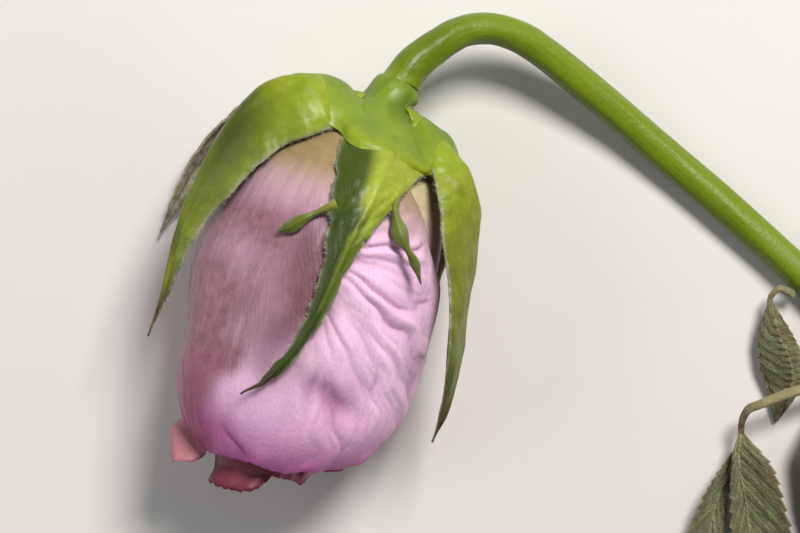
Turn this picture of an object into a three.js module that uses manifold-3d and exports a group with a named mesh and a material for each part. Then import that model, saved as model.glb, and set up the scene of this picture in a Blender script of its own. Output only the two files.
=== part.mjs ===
// A wilted cut rose with a bent neck, lying on its side on a flat surface.
// Millimetres, +Z up. The surface is z = 0. Seen from straight above, the drooping bud is
// on the left with its mouth towards -Y, the neck arches over at +Y, and the stem runs
// down to the right, where two withered leaves hang from it.
//
// Every petal, sepal and leaf blade is a thin closed solid of its own. The bud is drawn in
// its own polar frame: "along" is the distance from the calyx towards the mouth, "turn" is
// the angle round the bud's axis in degrees, 0 upwards and 90 to the right, and "out" is
// the distance from the axis.

import * as THREE from "three";
import Module from "manifold-3d";
import { mergeVertices } from "three/addons/utils/BufferGeometryUtils.js";

// Driving dimensions.
const BUD_RADIUS = 17.8;
const BUD_AXIS_HEIGHT = 15.6;
const BUD_LEAN = 19;
const CALYX_POINT = new THREE.Vector2(-2.6, 21.8);
const PART_CENTRE = new THREE.Vector2(33.1, -10.409);
const LAYER_STEP = 0.065;
const PETAL_THICKNESS = 0.36;
const SEPAL_THICKNESS = 0.8;
const LEAF_THICKNESS = 0.5;
const STEM_RADIUS = 2.45;
const PRESS_BELOW = 4;
const PRESS_SHARE = 0.84;

// How finely each kind of sheet is divided, across and along, and how sharply a sepal and a
// leaf blade are folded along the middle, from 0 for an arch to 1 for a crease.
const SHEET_STEPS = {
  outer_petal: [12, 10],
  middle_petal: [9, 8],
  inner_petal: [9, 7],
  sepal: [4, 14],
  lobe: [2, 6],
  blade: [6, 9],
};
const SEPAL_FOLD = 0.2;
const LOBE_FOLD = 1;
const BLADE_FOLD = 0.55;
const STEM_STEPS = 40;
const STEM_SIDES = 10;
const STALK_SIDES = 6;

// The bud's outline: how far out the outermost petal stands, as a share of BUD_RADIUS.
const BUD_PROFILE = [
  [1.5, 0.33],
  [4.5, 0.55],
  [8, 0.73],
  [13, 0.865],
  [20, 0.955],
  [28, 0.995],
  [36, 1],
  [42, 0.955],
  [46.5, 0.85],
  [50, 0.71],
  [53.5, 0.53],
  [59, 0.45],
];

// Soft hollows of the wilted bud: place along it, turn, length, width in degrees, and depth
// as a share of the radius. A depth below zero is a slight bulge.
const HOLLOWS = [
  [39.6, -94, 6.5, 36, 0.12],
  [26, -92, 5, 24, -0.05],
  [41, 32, 4.5, 30, 0.025],
  [33, -38, 9, 18, 0.025],
  [22, 40, 7, 16, 0.02],
];

// Plain maths.

const mix = (a, b, t) => a + (b - a) * t;

function smoothStep(from, to, x) {
  const t = Math.min(1, Math.max(0, (x - from) / (to - from)));
  return t * t * (3 - 2 * t);
}

// Steps that are half as long at both ends as they would be if all were equal.
const denserAtEnds = (t) => t - Math.sin(2 * Math.PI * t) / (4 * Math.PI);

// A smooth curve through rows of [x, y], as a function of x.
function through(rows) {
  const slope = (i) => {
    const a = rows[Math.max(0, i - 1)];
    const b = rows[Math.min(rows.length - 1, i + 1)];
    return (b[1] - a[1]) / (b[0] - a[0]);
  };
  return (x) => {
    const last = rows.length - 1;
    if (x <= rows[0][0]) return rows[0][1];
    if (x >= rows[last][0]) return rows[last][1];
    let i = 0;
    while (x > rows[i + 1][0]) i += 1;
    const width = rows[i + 1][0] - rows[i][0];
    const t = (x - rows[i][0]) / width;
    const h = t * t * (3 - 2 * t);
    const start = slope(i) * width * t * (1 - t) * (1 - t);
    const end = slope(i + 1) * width * t * t * (1 - t);
    return mix(rows[i][1], rows[i + 1][1], h) + start - end;
  };
}

// A smooth curve through points, as a function of t from 0 to 1.
function guide(points) {
  const curve = new THREE.CatmullRomCurve3(points, false, "catmullrom", 0.5);
  return (t) => curve.getPoint(t);
}

// The bud's polar frame.

const lean = THREE.MathUtils.degToRad(BUD_LEAN);
const ALONG = new THREE.Vector3(-Math.sin(lean), -Math.cos(lean), 0);
const ACROSS = new THREE.Vector3(Math.cos(lean), -Math.sin(lean), 0);
const UP = new THREE.Vector3(0, 0, 1);
const CALYX = new THREE.Vector3(CALYX_POINT.x, CALYX_POINT.y, BUD_AXIS_HEIGHT);
const profile = through(BUD_PROFILE);

function budRadius(along, turn) {
  let share = profile(along);
  for (const [place, middle, length, width, depth] of HOLLOWS) {
    const across = (((turn - middle) % 360) + 540) % 360 - 180;
    share *= 1 - depth * Math.exp(-(((along - place) / length) ** 2) - (across / width) ** 2);
  }
  return BUD_RADIUS * share;
}

// What lies low is pressed flat by the surface under it.
const press = (z) => (z < PRESS_BELOW ? PRESS_BELOW - (PRESS_BELOW - z) * PRESS_SHARE : z);

function inBud(along, turn, out) {
  const angle = THREE.MathUtils.degToRad(turn);
  const point = CALYX.clone()
    .addScaledVector(ALONG, along)
    .addScaledVector(ACROSS, out * Math.sin(angle))
    .addScaledVector(UP, out * Math.cos(angle));
  point.z = press(point.z);
  return point;
}

// Solids from sheets and tubes.

// A closed solid of the given thickness around a grid of points, rows[i][j].
// It never reaches below the surface that the rose lies on.
function sheetSolid(rows, thickness) {
  const m = rows.length;
  const n = rows[0].length;
  const normal = (i, j) => {
    const down = rows[Math.min(m - 1, i + 1)][j].clone().sub(rows[Math.max(0, i - 1)][j]);
    const side = rows[i][Math.min(n - 1, j + 1)].clone().sub(rows[i][Math.max(0, j - 1)]);
    return side.cross(down).normalize();
  };
  const positions = [];
  for (const side of [0.5, -0.5])
    for (let i = 0; i < m; i++)
      for (let j = 0; j < n; j++) {
        const p = rows[i][j].clone();
        const out = normal(i, j);
        if (p.z <= thickness / 2) {
          p.z = thickness / 2;
          out.set(0, 0, Math.sign(out.z));
        }
        p.addScaledVector(out, side * thickness);
        positions.push(p.x, p.y, Math.max(0, p.z));
      }
  const at = (i, j, below) => i * n + j + (below ? m * n : 0);
  const faces = [];
  const quad = (a, b, c, d) => faces.push(a, b, c, a, c, d);
  for (let i = 0; i < m - 1; i++)
    for (let j = 0; j < n - 1; j++) {
      quad(at(i, j), at(i, j + 1), at(i + 1, j + 1), at(i + 1, j));
      quad(at(i, j, 1), at(i + 1, j, 1), at(i + 1, j + 1, 1), at(i, j + 1, 1));
    }
  for (let j = 0; j < n - 1; j++) {
    quad(at(0, j + 1), at(0, j), at(0, j, 1), at(0, j + 1, 1));
    quad(at(m - 1, j), at(m - 1, j + 1), at(m - 1, j + 1, 1), at(m - 1, j, 1));
  }
  for (let i = 0; i < m - 1; i++) {
    quad(at(i, 0), at(i + 1, 0), at(i + 1, 0, 1), at(i, 0, 1));
    quad(at(i + 1, n - 1), at(i, n - 1), at(i, n - 1, 1), at(i + 1, n - 1, 1));
  }
  const geometry = new THREE.BufferGeometry();
  geometry.setAttribute("position", new THREE.Float32BufferAttribute(positions, 3));
  geometry.setIndex(faces);
  return geometry;
}

// A closed round tube along a guide, with its own radius at each station.
function tubeSolid(centre, radius, stations, sides) {
  const positions = [];
  const faces = [];
  let across = new THREE.Vector3(0, 0, 1);
  for (let i = 0; i <= stations; i++) {
    const t = i / stations;
    const ahead = centre(Math.min(1, t + 0.01)).sub(centre(Math.max(0, t - 0.01))).normalize();
    const second = ahead.clone().cross(across).normalize();
    across = second.clone().cross(ahead).normalize();
    for (let k = 0; k < sides; k++) {
      const angle = (2 * Math.PI * (k + 0.5)) / sides;
      const p = centre(t)
        .addScaledVector(across, radius(t) * Math.cos(angle))
        .addScaledVector(second, radius(t) * Math.sin(angle));
      positions.push(p.x, p.y, Math.max(0, p.z));
    }
  }
  const at = (i, k) => i * sides + (k % sides);
  for (let i = 0; i < stations; i++)
    for (let k = 0; k < sides; k++) {
      faces.push(at(i, k), at(i + 1, k + 1), at(i + 1, k), at(i, k), at(i, k + 1), at(i + 1, k + 1));
    }
  for (let k = 1; k < sides - 1; k++) {
    faces.push(at(0, 0), at(0, k + 1), at(0, k), at(stations, 0), at(stations, k), at(stations, k + 1));
  }
  const geometry = new THREE.BufferGeometry();
  geometry.setAttribute("position", new THREE.Float32BufferAttribute(positions, 3));
  geometry.setIndex(faces);
  return geometry;
}

// Joining closed solids.

const wasm = await Module();
wasm.setup();

function asManifold(geometry) {
  const bare = geometry.clone();
  bare.deleteAttribute("normal");
  bare.deleteAttribute("uv");
  const merged = mergeVertices(bare, 1e-3);
  const vertProperties = new Float32Array(merged.attributes.position.array);
  const triVerts = new Uint32Array(merged.index.array);
  return new wasm.Manifold(new wasm.Mesh({ numProp: 3, vertProperties, triVerts }));
}

function joined(geometries) {
  const whole = geometries.map(asManifold).reduce((a, b) => a.add(b));
  const mesh = whole.getMesh();
  const geometry = new THREE.BufferGeometry();
  geometry.setAttribute("position", new THREE.BufferAttribute(mesh.vertProperties, 3));
  geometry.setIndex(new THREE.BufferAttribute(mesh.triVerts, 1));
  return geometry;
}

// Petals.

// The outer petals, by hand. left and right give the turn of each edge at a place along
// the bud, and tip gives how far the margin reaches, from edge (-1) to edge (1). A petal's
// layer counts inwards, and its tuck slides one edge further in than the other. Where a lip
// curls out, lip says by how much at the margin, and lip_from where it starts.
const OUTER_PETALS = [
  {
    name: "petal_front",
    layer: 0,
    tuck: 0.35,
    left: [[2, -42], [6, -66], [12, -88], [20, -101], [36, -104], [54, -100]],
    right: [[2, 16], [6, 23], [9.7, 33], [13, 46], [17, 57], [22, 70], [28, 82], [36, 92], [54, 96]],
    tip: [[-1, 42.5], [-0.85, 45.4], [-0.74, 47], [-0.66, 49.8], [-0.58, 52.4], [-0.48, 53],
      [-0.3, 52.7], [0, 52.2], [0.25, 52], [0.34, 50.9], [0.46, 50.5], [0.68, 48.2], [0.82, 45.6], [1, 39.5]],
    lip: 0,
    lip_from: [[-1, 50], [1, 50]],
  },
  {
    name: "petal_back_left",
    layer: 1,
    tuck: 0.35,
    left: [[2, -162], [10, -192], [24, -204], [54, -200]],
    right: [[2, -92], [10, -66], [24, -58], [44, -58], [56, -62]],
    tip: [[-1, 44], [-0.5, 50], [0, 51.6], [0.3, 52.4], [0.62, 55.2], [0.86, 56.4], [1, 55.4]],
    lip: 4.6,
    lip_from: [[-1, 51], [0.3, 50.6], [0.5, 49.2], [0.75, 49.2], [0.9, 51.6], [1, 53.4]],
  },
  {
    name: "petal_back_right",
    layer: 2,
    tuck: 0.35,
    left: [[2, 60], [6, 34], [10, 24], [24, 22], [54, 44]],
    right: [[2, 158], [10, 190], [24, 206], [54, 202]],
    tip: [[-1, 42], [-0.5, 49], [0, 51.6], [0.6, 50], [1, 44]],
    lip: 0,
    lip_from: [[-1, 50], [1, 50]],
  },
  {
    name: "petal_left_inner",
    layer: 3,
    tuck: -0.35,
    left: [[2, -110], [12, -138], [54, -138]],
    right: [[2, -58], [12, -20], [54, -16]],
    tip: [[-1, 47], [-0.5, 50], [0, 51.4], [0.5, 51], [1, 48]],
    lip: 0,
    lip_from: [[-1, 50], [1, 50]],
  },
  {
    name: "petal_lower_lip",
    layer: 4,
    tuck: -0.35,
    left: [[2, -38], [12, -84], [54, -77]],
    right: [[2, 12], [12, 58], [54, 48]],
    tip: [[-1, 51], [-0.9, 54], [-0.8, 56], [-0.6, 57], [-0.33, 57.2], [0, 56.8],
      [0.3, 55.9], [0.45, 54.2], [0.55, 52.3], [0.7, 50], [1, 48]],
    lip: 1.9,
    lip_from: [[-1, 55.4], [-0.6, 53.8], [-0.2, 53], [1, 53]],
  },
];

// The inner petals follow each other at the golden angle, each tighter than the last.
const INNER_COUNT = 8;
const FIRST_INNER_LAYER = 5;
const INNER_TURN = 137.5;
const FIRST_INNER_TURN = 117.5;
const INNER_CLAW = 30;
const INNER_HALF_WIDTH = 84;
const INNER_WIDENING = 3.4;
const INNER_TIP = 54.2;
const INNER_TIP_STEP = 0.35;

function innerPetal(index) {
  const middle = FIRST_INNER_TURN + INNER_TURN * index;
  const half = INNER_HALF_WIDTH + index * INNER_WIDENING;
  const reach = INNER_TIP - index * INNER_TIP_STEP;
  return {
    name: `petal_inner_${index + 1}`,
    layer: FIRST_INNER_LAYER + index,
    tuck: -0.45,
    left: [[2, middle - INNER_CLAW], [12, middle - 0.9 * half], [20, middle - half], [58, middle - half]],
    right: [[2, middle + INNER_CLAW], [12, middle + 0.9 * half], [20, middle + half], [58, middle + half]],
    tip: [[-1, reach - 6], [-0.6, reach - 1.6], [0, reach], [0.6, reach - 1], [1, reach - 5]],
    lip: index % 2 ? 0.3 : 0.6,
    lip_from: [[-1, 52], [1, 52]],
  };
}

// The outer petals start round the receptacle's dome and the inner ones on top of it.
const OUTER_START = 1.9;
const INNER_START = 2.9;
const OUTER_WHORL = 3;
const LIP_LENGTH = 4;

function petalRows(petal, [columns, rowCount]) {
  const left = through(petal.left);
  const right = through(petal.right);
  const tip = through(petal.tip);
  const lipFrom = through(petal.lip_from);
  const start = petal.layer < OUTER_WHORL ? OUTER_START : INNER_START;
  const rows = [];
  for (let i = 0; i <= rowCount; i++) {
    const row = [];
    for (let j = 0; j <= columns; j++) {
      const u = mix(-1, 1, j / columns);
      const along = mix(start, tip(u), denserAtEnds(i / rowCount));
      const turn = mix(left(along), right(along), (u + 1) / 2);
      const share = 1 - LAYER_STEP * (petal.layer + petal.tuck * u);
      const lip = petal.lip * smoothStep(lipFrom(u), lipFrom(u) + LIP_LENGTH, along);
      row.push(inBud(along, turn, budRadius(along, turn) * share + lip));
    }
    rows.push(row);
  }
  return rows;
}

// Sepals.

// Three guides for each sepal, one down its middle and one along each margin, as rows of
// [along, turn, out] from the calyx to the tip.
const SEPALS = [
  {
    name: "sepal_front",
    margin_a: [[-0.2, -33, 6.6], [4.8, -21, 11.2], [10.3, -11, 15.3], [15, -6, 17.3], [18.4, -3.5, 18.2],
      [21.8, -1, 18.8], [27.7, 0, 19.1], [33.5, -1.5, 19.2], [38.4, -7, 19], [42.8, -14.5, 18.2]],
    middle: [[-1, 4, 6.6], [5, 10, 12.8], [9.8, 9, 16.4], [13.8, 8, 18], [17.8, 6, 18.9],
      [21.2, 5, 19.5], [27.6, 3.8, 19.7], [33.4, 1, 19.6], [38.4, -5, 19.2], [43.1, -13.2, 18.3]],
    margin_b: [[-0.2, 38, 6.6], [6.2, 42, 12.9], [9.2, 28.5, 14.9], [12.6, 21, 16.5], [17.2, 14, 18],
      [20.6, 10, 18.8], [27.5, 7, 19.2], [33.4, 3.2, 19.3], [38.6, -3.2, 19], [43, -11.8, 18.2]],
  },
  {
    name: "sepal_left",
    margin_a: [[-0.2, -104, 6.6], [1.4, -104, 10.6], [4, -104, 14.2], [7.4, -102, 17], [12, -98, 19],
      [16.4, -94, 20.4], [21.4, -87, 21.4], [27.6, -81, 21.4], [34, -78.5, 21], [40.4, -75, 21.3]],
    middle: [[-1.2, -62, 6.6], [-1.9, -59, 10.6], [-0.8, -61, 14.6], [2.2, -67, 17.8], [7, -73, 20],
      [12.8, -76, 21.4], [20.6, -77, 22.1], [27.6, -77, 21.9], [34, -75.6, 21.3], [40.5, -73.8, 21.5]],
    margin_b: [[-0.2, -34, 6.6], [2.6, -29, 8.9], [5.2, -31, 11.8], [8.4, -44.5, 14.6], [12.7, -52.5, 16.9],
      [17.7, -61, 18.1], [23, -71, 19.3], [27.6, -73, 20.2], [33.4, -72.5, 20.6], [40.3, -72.6, 21.3]],
  },
  {
    name: "sepal_right",
    margin_a: [[-0.2, 42, 6.6], [2.6, 45.5, 8.9], [5, 47, 12], [7.6, 47.5, 14.4], [10.6, 47.5, 16.6],
      [14.6, 48, 18.8], [20.2, 55.5, 20.4], [26.1, 62, 21.5], [33, 71.5, 21.9], [41.6, 80, 22]],
    middle: [[-1.2, 66, 6.6], [0.2, 62, 9.2], [2.6, 63, 13], [5.2, 67, 16.1], [9, 72, 17.9],
      [14.6, 74, 19.4], [21.1, 76, 20.5], [28.2, 79, 21.7], [35.4, 80.5, 22.4], [41.8, 81, 22.2]],
    margin_b: [[-0.2, 104, 6.6], [1.8, 100, 9], [4.6, 99, 12.2], [7.6, 99, 14.8], [11.6, 98.5, 16.8],
      [16.6, 98, 17.8], [22.4, 97, 18.5], [28.2, 94, 19.8], [35.6, 86, 21.6], [41.8, 82, 22.1]],
  },
  {
    name: "sepal_back_left",
    margin_a: [[-0.2, -177, 6.6], [2.6, -166, 10.6], [6, -152, 14.6], [9.6, -140, 18.6],
      [13.4, -131, 22.2], [19.4, -123.5, 26.4], [26.4, -119.4, 29.2]],
    middle: [[-1, -142, 6.6], [-0.8, -134, 12.4], [2.4, -128, 18.6], [7, -124, 22.8],
      [12, -121, 25.8], [19.6, -119, 28.3], [26.6, -118.6, 29.4]],
    margin_b: [[-0.2, -112, 6.6], [0.4, -109, 13.2], [3, -107, 19.4], [7.8, -110, 23],
      [12.3, -113, 26], [19.8, -116, 28.4], [26.5, -118, 29.3]],
  },
  {
    name: "sepal_back_right",
    margin_a: [[-0.2, 112, 6.6], [0.6, 108, 10.6], [4, 109, 14], [9, 112, 16.4],
      [16, 118, 17.8], [25, 124, 18.6], [34, 128.6, 19.2]],
    middle: [[-1, 143, 6.6], [0, 140, 11.2], [4.4, 136, 15], [9.6, 133, 17.4],
      [16.4, 131, 19], [25.2, 130.4, 19.8], [34.3, 130, 19.6]],
    margin_b: [[-0.2, 176, 6.6], [2.6, 170, 9.8], [6.4, 160, 13.2], [11.4, 150, 16.4],
      [17.4, 143, 18.4], [25.4, 137, 19.3], [34, 131.6, 19.3]],
  },
];

// The two ragged side lobes of the front sepal, each from its root to its tip.
const LOBES = [
  { points: [[14.4, -3.6, 17.8], [16.5, -11, 17.8], [17.7, -15, 18.1], [20.5, -24, 18.6]], halfWidth: 0.95 },
  { points: [[11, 19.6, 16.5], [14.1, 24.5, 17.3], [17, 30, 18.5], [21.1, 42.5, 19.3]], halfWidth: 1.15 },
];
const LOBE_TIP = 0.25;

// Cross-sections through three guides: a smooth arch, or a fold along the middle.
function loftRows(a, middle, b, [columns, rowCount], fold) {
  const rows = [];
  for (let i = 0; i <= rowCount; i++) {
    const t = i / rowCount;
    const [p, q, r] = [a(t), middle(t), b(t)];
    const row = [];
    for (let j = 0; j <= columns; j++) {
      const u = mix(-1, 1, j / columns);
      const arch = q.clone().multiplyScalar(1 - u * u);
      arch.addScaledVector(p, (u * u - u) / 2).addScaledVector(r, (u * u + u) / 2);
      row.push(arch.lerp(q.clone().lerp(u < 0 ? p : r, Math.abs(u)), fold));
    }
    rows.push(row);
  }
  return rows;
}

const budGuide = (rows) => guide(rows.map((row) => inBud(...row)));

function sepalSolid(sepal) {
  const guides = [sepal.margin_a, sepal.middle, sepal.margin_b].map(budGuide);
  return sheetSolid(loftRows(...guides, SHEET_STEPS.sepal, SEPAL_FOLD), SEPAL_THICKNESS);
}

function lobeSolid(lobe) {
  const middle = budGuide(lobe.points);
  const side = (sign) => (t) => {
    const ahead = middle(Math.min(1, t + 0.02)).sub(middle(Math.max(0, t - 0.02)));
    const width = lobe.halfWidth * Math.sin(Math.PI * (0.15 + 0.8 * t)) + LOBE_TIP * (1 - t);
    return middle(t).addScaledVector(ahead.cross(UP).normalize(), sign * width);
  };
  return sheetSolid(loftRows(side(-1), middle, side(1), SHEET_STEPS.lobe, LOBE_FOLD), SEPAL_THICKNESS);
}

// Stem and receptacle.

const STEM_PATH = [
  [-0.54, 25.16, 15.6], [0.3, 26.52, 15.5], [1.91, 28.76, 15.1], [4.6, 31.2, 14.1],
  [8.7, 33.8, 12.2], [13.1, 34.6, 10.4],
  [17.5, 33.4, 8.6], [22, 30.7, 6.9], [31.1, 23.7, 4.2], [40.1, 16.1, 2.6], [49.1, 8.4, 2.4],
  [58, 0.4, 2.4], [66.9, -8, 2.4], [77.4, -18.1, 2.4], [89.3, -30.3, 2.4], [100.4, -42.5, 2.4],
];
const STEM_SWELL = [[0, 1.32], [0.03, 1.26], [0.07, 1.14], [0.14, 1.08], [0.21, 1], [0.29, 0.93],
  [0.43, 0.97], [0.6, 1], [1, 1.04]];

const points = (rows) => rows.map(([x, y, z]) => new THREE.Vector3(x, y, z));

function stemSolid() {
  const swell = through(STEM_SWELL);
  return tubeSolid(guide(points(STEM_PATH)), (t) => STEM_RADIUS * swell(t), STEM_STEPS, STEM_SIDES);
}

// The receptacle is turned round the bud's axis: a neck, a flared rim that carries the
// sepals, and a low dome inside the bud that carries the petals.
const RECEPTACLE_PROFILE = [[0, -3.1], [3.6, -3.1], [3.6, -2], [4.5, -0.9], [5.9, 0.3], [5.9, 1.1],
  [4.6, 2.3], [0, 2.3]];

function receptacleMesh(material) {
  const outline = RECEPTACLE_PROFILE.map(([out, along]) => new THREE.Vector2(out, along));
  const mesh = new THREE.Mesh(new THREE.LatheGeometry(outline, 20), material);
  mesh.quaternion.setFromUnitVectors(new THREE.Vector3(0, 1, 0), ALONG);
  mesh.position.copy(CALYX);
  return mesh;
}

// Leaves.

// Three guides for each blade: margin, midrib, margin.
const BLADES = [
  {
    name: "leaflet_upper",
    margin_a: [[54.8, -4.9, 4.2], [56.1, -10.4, 6.2], [57.7, -14.5, 6.2], [58, -18.4, 4],
      [56.3, -23, 1.2]],
    middle: [[54.7, -5, 3.7], [53.1, -10.2, 2.8], [53.2, -14.2, 2.2], [54.6, -18.4, 1.4],
      [56.1, -23.2, 0.8]],
    margin_b: [[55.1, -4.9, 3.2], [58.8, -10.5, 1.5], [60.3, -14, 1], [60.2, -17.7, 0.8],
      [56.6, -23, 0.6]],
  },
  {
    name: "leaflet_end",
    margin_a: [[50.1, -24.7, 4.2], [49.1, -29.4, 5.9], [49, -36, 4.2], [49.6, -44, 2.6],
      [51.5, -51.3, 1.4],
      [54.4, -57.4, 0.6]],
    middle: [[50.5, -24.6, 3.8], [50.1, -28.6, 3.6], [51.4, -34.8, 2.4], [52.2, -41, 1.4],
      [53, -48.8, 0.9],
      [54.6, -57.6, 0.5]],
    margin_b: [[50.9, -24.7, 4.2], [54.6, -29.4, 6.9], [56.6, -35.6, 6.4], [58.7, -43.6, 4.2],
      [57.8, -51.5, 2], [54.8, -57.4, 0.7]],
  },
  {
    name: "leaflet_side",
    margin_a: [[49.3, -27.8, 2.3], [46.6, -31.2, 4.2], [44.2, -35.6, 4.3], [42.4, -42.6, 2.6],
      [43, -49.8, 1.2], [46.5, -53.8, 0.5]],
    middle: [[49.5, -27.8, 2], [48.1, -31.8, 1.7], [46.8, -36.4, 1.2], [45.9, -42, 0.8],
      [45.8, -48, 0.6],
      [46.7, -54, 0.4]],
    margin_b: [[49.6, -28.1, 1.8], [49.2, -32.8, 1.4], [48.6, -38.4, 1.2], [48.3, -44, 0.9],
      [48.2, -49.9, 0.7], [46.9, -53.8, 0.5]],
  },
  {
    name: "leaflet_under",
    margin_a: [[62.4, -19.6, 4.2], [59.4, -25.4, 5.8], [59.4, -31.6, 5.2], [60.3, -39.2, 3.6],
      [61.1, -46.4, 2], [63.9, -53, 0.6]],
    middle: [[62.6, -19.6, 3.8], [62.2, -25.2, 3], [62.2, -31.3, 2.1], [62.7, -38.6, 1.2],
      [63, -45.8, 0.8], [64.1, -53.2, 0.4]],
    margin_b: [[62.9, -19.6, 3.8], [65.4, -24.9, 2], [66.5, -31, 1.2], [66.8, -38.4, 0.8],
      [66.4, -45.4, 0.6], [64.3, -52.9, 0.5]],
  },
  {
    name: "leaflet_last",
    margin_a: [[67.6, -18.4, 3.1], [68.6, -24.6, 4.6], [69.5, -31, 4.6], [70, -38.4, 3.2],
      [72.3, -46.1, 0.9]],
    middle: [[67.8, -18.4, 2.8], [71.2, -24, 2.2], [73.4, -30.8, 1.4], [74, -38.1, 0.9],
      [72.6, -46.4, 0.5]],
    margin_b: [[68.1, -18.3, 3], [74.2, -23.6, 3.2], [77, -29.7, 2.8], [76.9, -37.9, 2],
      [72.9, -46.3, 0.8]],
  },
];

// Leaf stalks: the upper leaf's short one, and the long one that carries four leaflets.
const STALKS = [
  {
    name: "stalk_upper",
    path: [[58.1, -4.2, 3], [57.2, -3.6, 3.6], [56.1, -3.3, 4.2], [55, -4.4, 4]],
    radius: [[0, 0.55], [0.5, 0.48], [1, 0.42]],
    stations: 8,
  },
  {
    name: "stalk_lower",
    path: [[71.4, -17.1, 2.6], [66.5, -16.6, 4.6], [58.8, -18.2, 6.4], [54, -19.9, 6.8], [51.4, -21, 6.4],
      [50.6, -22.6, 5.2], [50.5, -24, 4.2]],
    radius: [[0, 0.9], [0.2, 0.82], [0.6, 0.75], [0.85, 0.55], [1, 0.45]],
    stations: 18,
  },
];

function bladeSolid(blade) {
  const guides = [blade.margin_a, blade.middle, blade.margin_b].map((rows) => guide(points(rows)));
  return sheetSolid(loftRows(...guides, SHEET_STEPS.blade, BLADE_FOLD), LEAF_THICKNESS);
}

// The whole rose.

const MATERIALS = {
  petal: new THREE.MeshStandardMaterial({ color: 0xc990ae, roughness: 0.55, side: THREE.DoubleSide }),
  sepal: new THREE.MeshStandardMaterial({ color: 0x86a02c, roughness: 0.5, side: THREE.DoubleSide }),
  stem: new THREE.MeshStandardMaterial({ color: 0x7fa01f, roughness: 0.45 }),
  receptacle: new THREE.MeshStandardMaterial({ color: 0xa5bd63, roughness: 0.5 }),
  leaf: new THREE.MeshStandardMaterial({ color: 0x7d8c66, roughness: 0.7, side: THREE.DoubleSide }),
  stalk: new THREE.MeshStandardMaterial({ color: 0x9c9468, roughness: 0.65 }),
};

const rose = new THREE.Group();
rose.position.set(-PART_CENTRE.x, -PART_CENTRE.y, 0);

function add(name, geometry, material) {
  const mesh = new THREE.Mesh(geometry, material);
  mesh.name = name;
  rose.add(mesh);
}

add("stem", stemSolid(), MATERIALS.stem);

const receptacle = receptacleMesh(MATERIALS.receptacle);
receptacle.name = "receptacle";
rose.add(receptacle);

for (const sepal of SEPALS) {
  const lobes = sepal.name === "sepal_front" ? LOBES.map(lobeSolid) : [];
  add(sepal.name, joined([sepalSolid(sepal), ...lobes]), MATERIALS.sepal);
}
for (const petal of OUTER_PETALS) {
  const steps = petal.layer < OUTER_WHORL ? SHEET_STEPS.outer_petal : SHEET_STEPS.middle_petal;
  add(petal.name, sheetSolid(petalRows(petal, steps), PETAL_THICKNESS), MATERIALS.petal);
}
for (let index = 0; index < INNER_COUNT; index++) {
  const petal = innerPetal(index);
  add(petal.name, sheetSolid(petalRows(petal, SHEET_STEPS.inner_petal), PETAL_THICKNESS), MATERIALS.petal);
}
for (const stalk of STALKS) {
  const solid = tubeSolid(guide(points(stalk.path)), through(stalk.radius), stalk.stations, STALK_SIDES);
  add(stalk.name, solid, MATERIALS.stalk);
}
for (const blade of BLADES) {
  add(blade.name, bladeSolid(blade), MATERIALS.leaf);
}

export default rose;
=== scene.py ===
# %% [markdown]
# A wilted cut rose
#
# The rose lies on its side on a pale table. Its neck has bent over, so the closed bud
# hangs at the picture's lower left, and the stem runs off to the lower right.
# We build it from thin curved sheets, because that is what petals, sepals and leaves are.
# Sculpting would also work, but a formula for each sheet keeps every petal inside the
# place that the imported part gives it, and the same formula tells the materials where the
# rim and the base of each petal are.

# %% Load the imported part
import math

import bpy
import numpy as np
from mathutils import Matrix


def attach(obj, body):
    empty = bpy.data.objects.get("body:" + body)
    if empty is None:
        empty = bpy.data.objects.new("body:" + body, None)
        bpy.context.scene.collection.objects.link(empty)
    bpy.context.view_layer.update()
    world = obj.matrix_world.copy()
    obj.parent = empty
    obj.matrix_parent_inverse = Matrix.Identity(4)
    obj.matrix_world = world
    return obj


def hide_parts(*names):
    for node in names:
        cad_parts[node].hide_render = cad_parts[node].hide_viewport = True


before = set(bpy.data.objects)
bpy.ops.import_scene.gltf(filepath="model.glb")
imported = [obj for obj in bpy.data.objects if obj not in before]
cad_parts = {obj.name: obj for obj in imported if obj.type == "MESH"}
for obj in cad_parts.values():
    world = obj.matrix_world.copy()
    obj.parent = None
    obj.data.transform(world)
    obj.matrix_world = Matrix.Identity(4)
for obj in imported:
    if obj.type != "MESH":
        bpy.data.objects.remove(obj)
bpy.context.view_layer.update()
print("nodes in the frame:", len(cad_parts))

# %% [markdown]
# Units and places
#
# A rose is easiest to think of in millimetres, and Blender wants metres. One helper turns
# the first into the second at the very end. The picture's centre is our zero, and
# PART_CENTRE is where the part's own origin lies as seen from there.

# %% Driving dimensions
MM = 0.001
PART_CENTRE = np.array([33.1, -10.409, 0.0])
BUD_RADIUS = 17.8
BUD_AXIS_HEIGHT = 15.6
BUD_LEAN = 19
CALYX = np.array([-2.6, 21.8, BUD_AXIS_HEIGHT])
LAYER_STEP = 0.065
PETAL_THICKNESS = 0.3
SEPAL_THICKNESS = 0.7
LEAF_THICKNESS = 0.34
THIN_SHARE = 0.35
STEM_RADIUS = 2.45
PRESS_BELOW = 4
PRESS_SHARE = 0.84
FLOOR_GAP = 0.02


def metres(points):
    return (np.asarray(points) - PART_CENTRE) * MM


print("bud across, in metres:", 2 * BUD_RADIUS * MM)

# %% [markdown]
# The camera
#
# The photograph looks at the rose from in front. Here the rose lies down, so the same view
# is the one from straight above. A long lens keeps the outlines as flat as they are in the
# photograph.

# %% Camera
CAMERA_HEIGHT = 333.1
LENS = 100
SENSOR = 36

camera = bpy.data.objects.new("camera", bpy.data.cameras.new("camera"))
camera.data.lens = LENS
camera.data.sensor_width = SENSOR
camera.data.clip_start = 0.01
camera.location = metres([0, 0, CAMERA_HEIGHT])
bpy.context.scene.collection.objects.link(camera)
bpy.context.scene.camera = camera
print("camera height:", round(camera.location.z, 3))

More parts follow.
